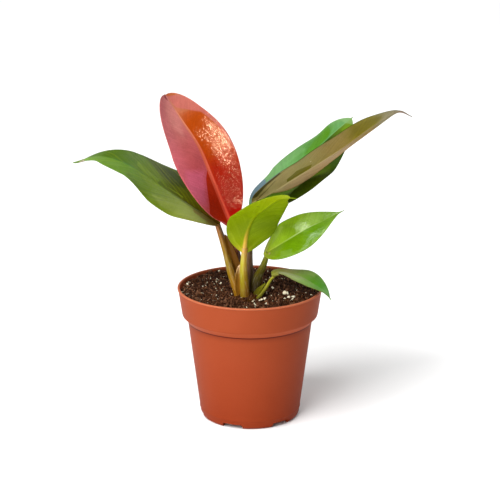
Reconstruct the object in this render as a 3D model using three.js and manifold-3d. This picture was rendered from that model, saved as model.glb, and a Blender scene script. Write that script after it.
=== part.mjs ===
import * as THREE from "three";
import { mergeVertices } from "three/addons/utils/BufferGeometryUtils.js";
import Module from "manifold-3d";

const wasm = await Module();
wasm.setup();

// A red sun philodendron in its nursery pot, in millimetres with +Z up.
// The origin is on the ground under the middle of the whole plant's bounding box, and -Y is the
// front. Every dimension below is measured from the pot's axis, which stands at POT_AXIS.
const POT_AXIS = { x: 5, y: -9 };

// Clearance between pieces that touch
const GAP = 0.3;

const POT = {
  height: 97,
  rimRadius: 52.5,
  lipHeight: 1.4,
  lipOut: 0.5,
  bandFootRadius: 49.2,
  bandFootHeight: 77,
  wallTopRadius: 45.2,
  wallTopHeight: 72.5,
  wallFootRadius: 36.6,
  wallFootHeight: 5,
  footRadius: 35,
  wall: 1.5,
  footRingWidth: 2.6,
  plateUnderside: 3.9,
  plateThickness: 1.8,
  slots: 6,
  slotWidth: 15,
  slotHeight: 3.3,
  firstSlotDegrees: -21,
  drainHoles: 6,
  drainHoleRadius: 3.5,
  drainCircleRadius: 23,
  segments: 60,
};

const SOIL = {
  height: 94,
  slopeToBack: 0.03,
  lumpHeight: 0.45,
  lumpLength: 13,
  rings: 9,
  segments: 48,
};

// The short stem, with the old leaf bases that wrap it
const CROWN = {
  x: -1.5,
  y: -11,
  radius: 11,
  foot: 76,
  shoulder: 92,
  top: 97.5,
  segments: 24,
};

const BLADE = {
  thickness: 0.8,
  ribWidth: 2.6,
  ribDepth: 1.0,
  columns: [0, 0.06, 0.16, 0.42, 0.7, 1],
  dripHalfWidth: 0.6,
};

const PETIOLE = {
  sides: 10,
  depthToWidth: 0.88,
  sunkInBlade: 2,
};

// Each leaf: the petiole's centre line with its half widths from foot to top, and the blade's
// midrib line. face is where the upper side looks, from base to tip. fold is how far each half
// lifts from flat, in degrees, as [left, right, extra lift towards the margin]. The outline's
// half width is width / 2 * v^baseFullness * (1 - v)^tipFullness, scaled to its peak, where v runs
// from 0 to 1 at the start of the narrow drip tip, which takes dripTip of the midrib's length.
const LEAVES = [
  {
    name: "red",
    color: 0xb8362a,
    petioleColor: 0x6e3a24,
    petiole: [
      [-5, -5.5, 84], [-5.5, -5, 94], [-6, -5, 105], [-9, -6.5, 122], [-12, -8.5, 136], [-14, -8, 146],
    ],
    halfWidths: [2.8, 2.8, 2.4, 2.1],
    midrib: [
      [-14, -8, 146], [-18, -4.5, 155], [-26.5, -3.5, 177], [-36, 0, 200], [-48, 6.5, 217.5],
      [-61, 22.5, 233.5],
    ],
    face: [[0.38, -0.92, 0.14], [0.21, -0.95, 0.23], [0.15, -0.92, 0.37]],
    fold: [[27, 26, 17], [15, 20, 8], [38, 41, 24]],
    width: 46.5,
    baseFullness: 0.55,
    tipFullness: 0.63,
    dripTip: 0.012,
    lobe: 2.7,
    wave: [3.6, -0.8, -1.4, 0],
    rows: 20,
  },
  {
    name: "left",
    color: 0x5d7a2c,
    petioleColor: 0xa8762f,
    petiole: [
      [-8.4, -11.5, 84], [-8.4, -12, 94], [-9.9, -11.5, 100], [-13.6, -10, 112], [-16.9, -8, 125],
      [-21.5, -6, 144],
    ],
    halfWidths: [3.3, 3.7, 3, 2.2],
    midrib: [
      [-21.5, -6, 144], [-33, -4, 152], [-49, 0.5, 161.5], [-65.5, 2, 171.5], [-85.5, 3.5, 185.5],
      [-107, 7, 191.5], [-126, 5, 187.5],
    ],
    face: [[-0.09, -0.56, 0.82], [-0.02, -0.2, 0.98], [-0.71, -0.04, 0.7]],
    fold: [[27, 28, -3], [9, 9, -11], [3, 3, -11]],
    width: 52.5,
    baseFullness: 0.78,
    tipFullness: 0.91,
    dripTip: 0.075,
    lobe: 0,
    wave: [3.1, 1.6, 0.5, 1],
    rows: 24,
  },
  {
    name: "green",
    color: 0x5fae62,
    petioleColor: 0x4c4a22,
    petiole: [
      [1, -5, 84], [1.5, -4.5, 94], [0.8, -3.5, 105], [0, 1, 120], [0.5, 10, 136], [1.5, 20, 151],
    ],
    halfWidths: [2, 2, 1.9, 1.8],
    midrib: [
      [1.5, 20, 151], [13.5, 26, 159], [29.5, 34.5, 173.5], [45.5, 47, 184.5], [63, 54.5, 199],
      [76.5, 63, 208.5],
    ],
    face: [
      [-0.48, -0.73, 0.49], [-0.55, -0.65, 0.52], [-0.57, -0.66, 0.49], [-0.48, -0.59, 0.65],
      [-0.37, -0.61, 0.7],
    ],
    fold: [[15, 14, -25], [-9, 6, -23], [-6, 2, -23], [-13, 3, -24], [18, 12, -21]],
    width: 50.5,
    baseFullness: 0.71,
    tipFullness: 0.78,
    dripTip: 0.02,
    lobe: 2,
    wave: [0.2, 0.6, 0.2, 0.1],
    rows: 20,
  },
  {
    name: "bronze",
    color: 0x94804f,
    petioleColor: 0x5e4a24,
    petiole: [
      [-1.5, -9.5, 84], [-1.5, -9, 94], [-1.5, -8.5, 108], [-0.5, -8, 124], [1, -8.5, 142],
      [3.5, -9.5, 163.5],
    ],
    halfWidths: [2, 2, 1.9, 1.7],
    midrib: [
      [3.5, -9.5, 163.5], [13.5, -6.5, 168], [38, 5, 180.5], [64, 8.5, 196.5], [87, 13.5, 212],
      [104.5, 16.5, 222], [116, 21, 217.5],
    ],
    face: [
      [-0.56, 0.17, 0.81], [-0.53, 0.52, 0.67], [-0.49, 0.64, 0.59], [-0.47, 0.61, 0.64],
      [-0.08, 0.47, 0.88],
    ],
    fold: [[33, 48, -21], [16, 14, -19], [22, 15, -20], [25, 25, -18], [18, 25, -19]],
    width: 42.5,
    baseFullness: 0.58,
    tipFullness: 0.99,
    dripTip: 0.09,
    lobe: 3,
    wave: [-1.8, 0, 0.8, 0.3],
    rows: 24,
  },
  {
    name: "lime",
    color: 0x8fa614,
    petioleColor: 0xa9a032,
    petiole: [[-3.2, -16.8, 84], [-3.4, -17.3, 94], [-4, -17.7, 104], [-4.5, -19, 116], [-4, -20, 129.5]],
    halfWidths: [3.5, 3.4, 2.7, 2.1],
    midrib: [
      [-4, -20, 129.5], [-2.5, -16, 141], [2, -16, 152], [9, -20.5, 159.5], [18.5, -22.5, 167],
      [26, -25, 169.5], [33, -23, 168.5],
    ],
    face: [
      [-0.08, 0.98, -0.16], [-0.34, 0.92, 0.21], [-0.44, 0.78, 0.44], [-0.34, 0.72, 0.61],
      [-0.09, 0.65, 0.75],
    ],
    fold: [[11, 10, -8], [-2, -6, -8], [5, -6, -7], [3, -11, -7], [9, 9, -7]],
    width: 45,
    baseFullness: 0.77,
    tipFullness: 0.78,
    dripTip: 0.09,
    lobe: 2,
    wave: [0.1, 0.7, 0.2, 0.6],
    rows: 20,
  },
  {
    name: "right",
    color: 0x6fb022,
    petioleColor: 0x5c5a1e,
    petiole: [
      [3.5, -11.5, 84], [3.5, -12, 94], [3.8, -11, 102], [5.8, -9, 108], [9.2, -6.8, 113.8],
      [11.5, -5.5, 123.5],
    ],
    halfWidths: [2, 2, 2, 1.8, 1.6],
    halfDepths: [3.3, 3.4, 3.4, 2.4, 1.4],
    midrib: [
      [11.5, -5.5, 123.5], [25, -10.5, 133.5], [40, -9, 142.5], [55, -5, 148.5], [67, -2.5, 154.5],
    ],
    face: [[-0.27, -0.5, 0.82], [-0.36, -0.65, 0.66], [-0.34, -0.43, 0.84]],
    fold: [[9, 10, -9], [10, 10, -11], [15, 15, -6]],
    width: 32,
    baseFullness: 0.67,
    tipFullness: 1.08,
    dripTip: 0.05,
    lobe: 2.2,
    wave: [1.4, 0.3, 1, -0.6],
    rows: 18,
  },
  {
    name: "low",
    color: 0x5e9b54,
    petioleColor: 0x8a9a30,
    petiole: [
      [3.2, -17.6, 84], [4.2, -17.6, 91.5], [7.8, -15.2, 95.6], [11.8, -10.7, 99.7], [15, -6.5, 104],
      [17.5, -5, 107.5],
    ],
    halfWidths: [1.7, 1.7, 1.4, 1.1],
    midrib: [
      [17.5, -5, 107.5], [22.5, -3.5, 108.5], [35.5, -9.5, 107], [45.5, -17, 103.5], [53.5, -23, 99.5],
      [57.5, -26, 95],
    ],
    face: [
      [0.07, -0.08, 0.99], [0.14, -0.1, 0.98], [0.33, -0.26, 0.91], [0.48, -0.34, 0.81],
      [0.81, -0.3, 0.51],
    ],
    fold: [[5, 16, -12], [5, 19, -10], [12, 17, -11], [18, 14, -9], [12, 13, -10]],
    width: 25.5,
    baseFullness: 0.64,
    tipFullness: 0.94,
    dripTip: 0.04,
    lobe: 2,
    wave: [-0.5, 0.2, 0.3, 0.5],
    rows: 16,
  },
];

// Thin sheaths that stand between the petioles. front and back are dry and papery, left is a
// web beside the left leaf's petiole, and low is the small pointed one at the lowest leaf.
const SHEATHS = [
  {
    name: "front",
    color: 0xb98a63,
    midrib: [[-6.8, -14.8, 94.5], [-8, -14.8, 103], [-8.3, -14.6, 111], [-7.2, -14.5, 117.5]],
    face: [[0.3, -0.95, 0], [0.3, -0.95, 0.1]],
    width: 7.5,
  },
  {
    name: "back",
    color: 0xb98a63,
    midrib: [[5.8, -6.5, 95], [7, -3.5, 104], [7.4, -1, 113]],
    face: [[-0.3, -0.9, 0.2], [-0.3, -0.9, 0.3]],
    width: 6,
  },
  {
    name: "left",
    color: 0x6b4a26,
    midrib: [
      [-7.4, -8.4, 96], [-9.4, -8.9, 110], [-12.4, -9.5, 122], [-15.8, -9.3, 133], [-18, -8.9, 138.5],
    ],
    face: [[0.1, -1, 0], [0.1, -1, 0.1]],
    width: 9,
  },
  {
    name: "low",
    color: 0x8a9a30,
    midrib: [[3.4, -16.2, 94.8], [7, -13.9, 99], [11, -10.7, 102.4]],
    face: [[-0.3, -0.9, 0.4], [-0.3, -0.8, 0.5]],
    width: 4.5,
    baseFullness: 0.35,
    tipFullness: 1.1,
  },
];
const SHEATH_SHAPE = {
  fold: [[8, 8, 30], [8, 8, 40]],
  baseFullness: 0.2,
  tipFullness: 0.6,
  dripTip: 0.02,
  lobe: 0,
  wave: [0, 0, 0, 0],
  rows: 8,
};

function vectors(points) {
  return points.map(([x, y, z]) => new THREE.Vector3(x, y, z));
}

function curveThrough(points) {
  return new THREE.CatmullRomCurve3(vectors(points), false, "catmullrom", 0.5);
}

function degrees(angle) {
  return THREE.MathUtils.degToRad(angle);
}

// The three.js geometry with its shared vertices merged
function closed(geometry) {
  const bare = geometry.clone();
  bare.deleteAttribute("normal");
  bare.deleteAttribute("uv");
  return mergeVertices(bare, 1e-4);
}

function solid(geometry) {
  const merged = closed(geometry);
  const vertProperties = new Float32Array(merged.attributes.position.array);
  const triVerts = new Uint32Array(merged.index.array);
  return new wasm.Manifold(new wasm.Mesh({ numProp: 3, vertProperties, triVerts }));
}

function geometryOf(manifold) {
  const mesh = manifold.getMesh();
  const geometry = new THREE.BufferGeometry();
  geometry.setAttribute("position", new THREE.Float32BufferAttribute(mesh.vertProperties, 3));
  geometry.setIndex(Array.from(mesh.triVerts));
  return geometry;
}

// The half width of a leaf at u along its midrib
function halfWidthAt(leaf, u) {
  const { baseFullness: p, tipFullness: q, dripTip } = leaf;
  const v = Math.min(1, u / (1 - dripTip));
  const peakAt = p / (p + q);
  const peak = peakAt ** p * (1 - peakAt) ** q;
  const outline = (leaf.width / 2) * v ** p * (1 - v) ** q / peak;
  return outline + BLADE.dripHalfWidth * Math.min(1, (1 - u) / dripTip) * v ** 6;
}

// Across and up, from the midrib to a point at share a of the half width, along an arc that
// leaves at the fold angle and turns by the curl angle on its way to the margin
function alongArc(halfWidth, fold, curl, a) {
  const steps = 8;
  let across = 0;
  let up = 0;
  for (let k = 0; k < steps; k += 1) {
    const angle = degrees(fold + curl * a * (k + 0.5) / steps);
    across += Math.cos(angle) * a / steps;
    up += Math.sin(angle) * a / steps;
  }
  return [across * halfWidth, up * halfWidth, degrees(fold + curl * a)];
}

// A blade with its rim: one grid for the upper face, the same grid for the lower face
function bladeGeometry(leaf) {
  const midrib = curveThrough(leaf.midrib);
  const faces = new THREE.CatmullRomCurve3(vectors(leaf.face), false, "catmullrom", 0.5);
  const folds = new THREE.CatmullRomCurve3(vectors(leaf.fold), false, "catmullrom", 0.5);
  const shares = [...BLADE.columns.slice(1).reverse().map((a) => -a), ...BLADE.columns];
  const points = [];
  const indices = [];
  const rowStart = [];
  for (let i = 0; i <= leaf.rows; i += 1) {
    const even = i / leaf.rows;
    const u = 0.6 * even + 0.4 * (1 - Math.cos(Math.PI * even)) / 2;
    const isEnd = i === 0 || i === leaf.rows;
    const tangent = midrib.getTangentAt(u);
    const face = faces.getPoint(u);
    const normal = face.addScaledVector(tangent, -face.dot(tangent)).normalize();
    const rightward = new THREE.Vector3().crossVectors(tangent, normal);
    const [leftFold, rightFold, curl] = folds.getPoint(u).toArray();
    const halfWidth = halfWidthAt(leaf, u);
    const origin = midrib.getPointAt(u);
    rowStart.push(points.length / 3);
    for (const share of isEnd ? [0] : shares) {
      const a = Math.abs(share);
      const side = Math.sign(share);
      const fold = side < 0 ? leftFold : rightFold;
      const [across, up, angle] = alongArc(halfWidth, fold, curl, a);
      const [waveSize, wavePhase] = side < 0 ? leaf.wave.slice(0, 2) : leaf.wave.slice(2);
      const ripple = Math.sin(3 * Math.PI * u + wavePhase) * Math.sqrt(Math.sin(Math.PI * u));
      const lift = up + waveSize * a ** 2 * ripple;
      const back = leaf.lobe * a * Math.max(0, 1 - 4 * u) ** 2;
      const middle = origin.clone().addScaledVector(rightward, side * across);
      middle.addScaledVector(normal, lift).addScaledVector(tangent, -back);
      const outward = normal.clone().multiplyScalar(Math.cos(angle));
      outward.addScaledVector(rightward, -side * Math.sin(angle)).normalize();
      const fromRib = (a * halfWidth) / BLADE.ribWidth;
      const rib = BLADE.ribDepth * (1 - 0.8 * u) * Math.exp(-(fromRib ** 2)) * (isEnd ? 0 : 1);
      const upper = middle.clone().addScaledVector(outward, BLADE.thickness / 2);
      const lower = middle.clone().addScaledVector(outward, -BLADE.thickness / 2 - rib);
      points.push(...upper.toArray(), ...lower.toArray());
    }
  }
  const count = shares.length;
  const vertexAt = (i, j, lower) => {
    const isEnd = i === 0 || i === leaf.rows;
    return rowStart[i] + 2 * (isEnd ? 0 : j) + lower;
  };
  const quad = (a, b, c, d) => {
    if (a !== b) indices.push(a, b, c);
    if (c !== d) indices.push(a, c, d);
  };
  for (let i = 0; i < leaf.rows; i += 1) {
    for (let j = 0; j < count - 1; j += 1) {
      const [a, b] = [vertexAt(i, j, 0), vertexAt(i, j + 1, 0)];
      const [c, d] = [vertexAt(i + 1, j + 1, 0), vertexAt(i + 1, j, 0)];
      quad(a, b, c, d);
      const lowerFace = [...indices.slice(-(a !== b && c !== d ? 6 : 3))];
      for (let k = 0; k < lowerFace.length; k += 3) {
        indices.push(lowerFace[k] + 1, lowerFace[k + 2] + 1, lowerFace[k + 1] + 1);
      }
    }
    for (const [j, flip] of [[0, false], [count - 1, true]]) {
      const [a, b] = [vertexAt(i, j, 0), vertexAt(i + 1, j, 0)];
      const [c, d] = [vertexAt(i + 1, j, 1), vertexAt(i, j, 1)];
      if (flip) indices.push(a, d, c, a, c, b);
      else indices.push(a, b, c, a, c, d);
    }
  }
  const geometry = new THREE.BufferGeometry();
  geometry.setAttribute("position", new THREE.Float32BufferAttribute(points, 3));
  geometry.setIndex(indices);
  return geometry;
}

// The petiole's centre line, run on into the base of its blade
function petioleCurve(leaf) {
  const into = curveThrough(leaf.midrib).getTangentAt(0).multiplyScalar(PETIOLE.sunkInBlade);
  const points = vectors(leaf.petiole);
  points[points.length - 1].add(into);
  return new THREE.CatmullRomCurve3(points, false, "catmullrom", 0.5);
}

// A tapered oval tube, bent from a cylinder, with grow added all round for cutting sockets
function petioleGeometry(leaf, grow = 0) {
  const curve = petioleCurve(leaf);
  const steps = 2 * leaf.petiole.length + 2;
  const geometry = new THREE.CylinderGeometry(1, 1, 1, PETIOLE.sides, steps);
  const position = geometry.attributes.position;
  const sizes = leaf.halfWidths.map((half, k) => {
    return [half, leaf.halfDepths ? leaf.halfDepths[k] : half * PETIOLE.depthToWidth, 0];
  });
  const sizeCurve = curveThrough(sizes);
  const inward = new THREE.Vector3(CROWN.x, CROWN.y, 0);
  for (let k = 0; k < position.count; k += 1) {
    const u = THREE.MathUtils.clamp(position.getY(k) + 0.5, 0, 1);
    const centre = curve.getPointAt(u);
    const tangent = curve.getTangentAt(u);
    const face = inward.clone().sub(centre).setZ(0);
    const groove = face.addScaledVector(tangent, -face.dot(tangent)).normalize();
    const across = new THREE.Vector3().crossVectors(tangent, groove);
    const size = sizeCurve.getPoint(u);
    centre.addScaledVector(across, position.getX(k) * (size.x + grow));
    centre.addScaledVector(groove, position.getZ(k) * (size.y + grow));
    if (u === 0) centre.addScaledVector(tangent, -grow);
    if (u === 1) centre.addScaledVector(tangent, grow);
    position.setXYZ(k, centre.x, centre.y, centre.z);
  }
  return geometry;
}

// A round body about a vertical axis, from [radius, height] pairs that start and end on it
function turned(profile, segments) {
  const geometry = new THREE.LatheGeometry(profile.map(([r, z]) => new THREE.Vector2(r, z)), segments);
  return geometry.rotateX(Math.PI / 2);
}

function crownProfile(grow = 0) {
  const { radius, foot, shoulder, top } = CROWN;
  return [
    [0, foot - grow],
    [0.7 * radius, foot - grow],
    [0.95 * radius + grow, foot + 4 - grow],
    [radius + grow, shoulder + grow],
    [0.85 * radius + grow, shoulder + 2.8 + grow],
    [0.55 * radius, top - 0.8 + grow],
    [0, top + grow],
  ];
}

// The inner face of the pot's wall: the outer face moved in by the wall, at height z
function potInnerRadius(z) {
  const outer = [
    [POT.wallFootHeight, POT.wallFootRadius],
    [POT.wallTopHeight, POT.wallTopRadius],
    [POT.bandFootHeight, POT.bandFootRadius],
    [POT.height, POT.rimRadius],
  ];
  const k = outer.findIndex(([height]) => z <= height);
  const [[z0, r0], [z1, r1]] = [outer[k - 1], outer[k]];
  return r0 + ((r1 - r0) * (z - z0)) / (z1 - z0) - POT.wall;
}

function makePot() {
  const plateTop = POT.plateUnderside + POT.plateThickness;
  const profile = [
    [0, POT.plateUnderside],
    [POT.footRadius - POT.footRingWidth, POT.plateUnderside],
    [POT.footRadius - POT.footRingWidth, 0],
    [POT.footRadius, 0],
    [POT.footRadius + 1.1, 1.8],
    [POT.wallFootRadius, POT.wallFootHeight],
    [POT.wallTopRadius, POT.wallTopHeight],
    [POT.bandFootRadius, POT.bandFootHeight],
    [POT.rimRadius - POT.lipOut, POT.height - POT.lipHeight],
    [POT.rimRadius, POT.height - POT.lipHeight / 2],
    [POT.rimRadius - POT.lipOut, POT.height],
    [POT.rimRadius - POT.wall - 0.1, POT.height],
    [potInnerRadius(POT.bandFootHeight), POT.bandFootHeight],
    [potInnerRadius(POT.wallTopHeight), POT.wallTopHeight],
    [potInnerRadius(plateTop), plateTop],
    [0, plateTop],
  ];
  let pot = solid(turned(profile, POT.segments));
  for (let k = 0; k < POT.slots; k += 1) {
    const angle = degrees(POT.firstSlotDegrees + (360 / POT.slots) * k);
    const slot = new THREE.BoxGeometry(POT.slotWidth, 12, 2 * POT.slotHeight);
    slot.translate(0, -POT.footRadius, 0).rotateZ(angle);
    pot = pot.subtract(solid(slot));
  }
  for (let k = 0; k < POT.drainHoles; k += 1) {
    const angle = degrees(POT.firstSlotDegrees + 30 + (360 / POT.drainHoles) * k);
    const hole = new THREE.CylinderGeometry(POT.drainHoleRadius, POT.drainHoleRadius, 12, 12);
    hole.rotateX(Math.PI / 2).translate(0, -POT.drainCircleRadius, POT.plateUnderside).rotateZ(angle);
    pot = pot.subtract(solid(hole));
  }
  return geometryOf(pot);
}

function soilHeight(x, y) {
  const { lumpLength: length, lumpHeight: size } = SOIL;
  const coarse = Math.sin(x / length + 0.8) * Math.cos(y / length - 0.5);
  const fine = Math.sin((x + 0.6 * y) / (0.37 * length)) * Math.sin((y - 0.5 * x) / (0.41 * length) + 1);
  return SOIL.height + SOIL.slopeToBack * y + size * (coarse + fine);
}

function makeSoil() {
  const floor = POT.plateUnderside + POT.plateThickness + GAP;
  const edge = (z) => potInnerRadius(z) - GAP - 0.1;
  const profile = [];
  for (let k = 0; k <= SOIL.rings; k += 1) {
    profile.push([(edge(SOIL.height) * k) / SOIL.rings, SOIL.height]);
  }
  profile.push([edge(POT.bandFootHeight), POT.bandFootHeight]);
  profile.push([edge(POT.wallTopHeight), POT.wallTopHeight]);
  profile.push([edge(floor), floor]);
  profile.push([0, floor]);
  const geometry = turned(profile.reverse(), SOIL.segments);
  const position = geometry.attributes.position;
  for (let k = 0; k < position.count; k += 1) {
    const [x, y, z] = [position.getX(k), position.getY(k), position.getZ(k)];
    if (Math.abs(z - SOIL.height) < 1e-3) {
      const height = soilHeight(x, y);
      const within = Math.min(1, edge(height) / Math.max(Math.hypot(x, y), 1e-6));
      position.setXYZ(k, x * within, y * within, height);
    }
  }
  const openTop = SOIL.height + 10;
  const below = crownProfile(2 * GAP).slice(0, 4);
  const holeProfile = [...below, [CROWN.radius + 2 * GAP, openTop], [0, openTop]];
  const hole = turned(holeProfile, CROWN.segments).translate(CROWN.x, CROWN.y, 0);
  return geometryOf(solid(geometry).subtract(solid(hole)));
}

function makeCrown() {
  let crown = solid(turned(crownProfile(), CROWN.segments).translate(CROWN.x, CROWN.y, 0));
  for (const leaf of LEAVES) {
    crown = crown.subtract(solid(petioleGeometry(leaf, GAP)));
  }
  return geometryOf(crown);
}

function makeBlade(leaf) {
  const blade = solid(bladeGeometry(leaf));
  return geometryOf(blade.subtract(solid(petioleGeometry(leaf, GAP))));
}

function makeSheath(sheath) {
  const crown = turned(crownProfile(GAP), CROWN.segments).translate(CROWN.x, CROWN.y, 0);
  let body = solid(bladeGeometry({ ...SHEATH_SHAPE, ...sheath })).subtract(solid(crown));
  for (const leaf of LEAVES) {
    body = body.subtract(solid(petioleGeometry(leaf, GAP)));
  }
  return geometryOf(body);
}

const plant = new THREE.Group();
plant.position.set(POT_AXIS.x, POT_AXIS.y, 0);
const part = new THREE.Group();
part.add(plant);

function addPiece(name, geometry, color, roughness) {
  const material = new THREE.MeshStandardMaterial({ color, roughness, metalness: 0 });
  const piece = new THREE.Mesh(geometry, material);
  piece.name = name;
  plant.add(piece);
}

addPiece("pot", makePot(), 0xb9583a, 0.6);
addPiece("soil", makeSoil(), 0x35231b, 0.95);
addPiece("crown", makeCrown(), 0x8f6a2e, 0.6);
for (const leaf of LEAVES) {
  addPiece(`petiole_${leaf.name}`, closed(petioleGeometry(leaf)), leaf.petioleColor, 0.45);
  addPiece(`blade_${leaf.name}`, makeBlade(leaf), leaf.color, 0.35);
}
for (const sheath of SHEATHS) {
  addPiece(`sheath_${sheath.name}`, makeSheath(sheath), sheath.color, 0.8);
}

export default part;
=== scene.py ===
from collections import namedtuple
import math

import bmesh
import bpy
import numpy as np
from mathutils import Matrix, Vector


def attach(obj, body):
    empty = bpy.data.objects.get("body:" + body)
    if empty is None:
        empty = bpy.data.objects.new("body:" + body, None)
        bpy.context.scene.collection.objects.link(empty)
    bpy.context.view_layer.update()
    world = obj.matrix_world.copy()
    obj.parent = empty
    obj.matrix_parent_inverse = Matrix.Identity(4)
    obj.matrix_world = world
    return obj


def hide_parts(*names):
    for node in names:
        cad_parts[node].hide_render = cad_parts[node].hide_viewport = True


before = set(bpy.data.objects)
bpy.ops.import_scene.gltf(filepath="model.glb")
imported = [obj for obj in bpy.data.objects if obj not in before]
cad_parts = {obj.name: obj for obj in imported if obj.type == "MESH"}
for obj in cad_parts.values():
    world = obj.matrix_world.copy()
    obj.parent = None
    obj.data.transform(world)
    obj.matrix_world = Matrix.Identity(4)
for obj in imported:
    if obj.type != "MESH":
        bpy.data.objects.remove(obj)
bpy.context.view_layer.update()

# A potted red sun philodendron. Lengths are in millimetres until a mesh is made; -Y is the front.
# They are measured from the pot's axis, which stands at POT_AXIS.
MM = 0.001
ROOT = "root"
POT_AXIS = (5, -9, 0)

CAMERA = {
    "height": 464,
    "distance": 1150,
    "pitch_degrees": 16.46,
    "lens": 120.07,
    "sensor": 36,
}

POT = {
    "height": 97,
    "rim_radius": 52.5,
    "band_foot": (49.2, 77),
    "wall_top": (45.2, 72.5),
    "wall_foot": (36.6, 5),
    "foot_radius": 35,
    "wall": 1.5,
    "ring_width": 2.6,
    "plate_underside": 3.9,
    "floor": 5.7,
    "slots": 6,
    "slot_width": 15,
    "slot_height": 3.3,
    "first_slot_degrees": -21,
    "drain_hole_radius": 3.5,
    "drain_circle_radius": 23,
    "sharp_degrees": 38,
    "segments": 192,
}

SOIL = {
    "height": 94,
    "slope_to_back": 0.03,
    "lump": 0.45,
    "lump_length": 13,
    "wall_gap": 0.35,
    "heap": [(0, 97.4), (6, 96.6), (9.4, 94.8), (11.5, 92)],
}

CROWN = {"x": -1.5, "y": -11, "radius": 11, "foot": 76, "shoulder": 92, "top": 97.5}

STALK = {
    "blade_lap": 2,
    "depth_to_width": 0.88,
    "groove": 0.26,
    "groove_edge": 0.07,
    "strand_height": 0.035,
    "wobble": 0.02,
}

DRIP_HALF_WIDTH = 0.6
MIDRIB_HALF_THICKNESS = 0.28
MARGIN_HALF_THICKNESS = 0.16

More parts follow.
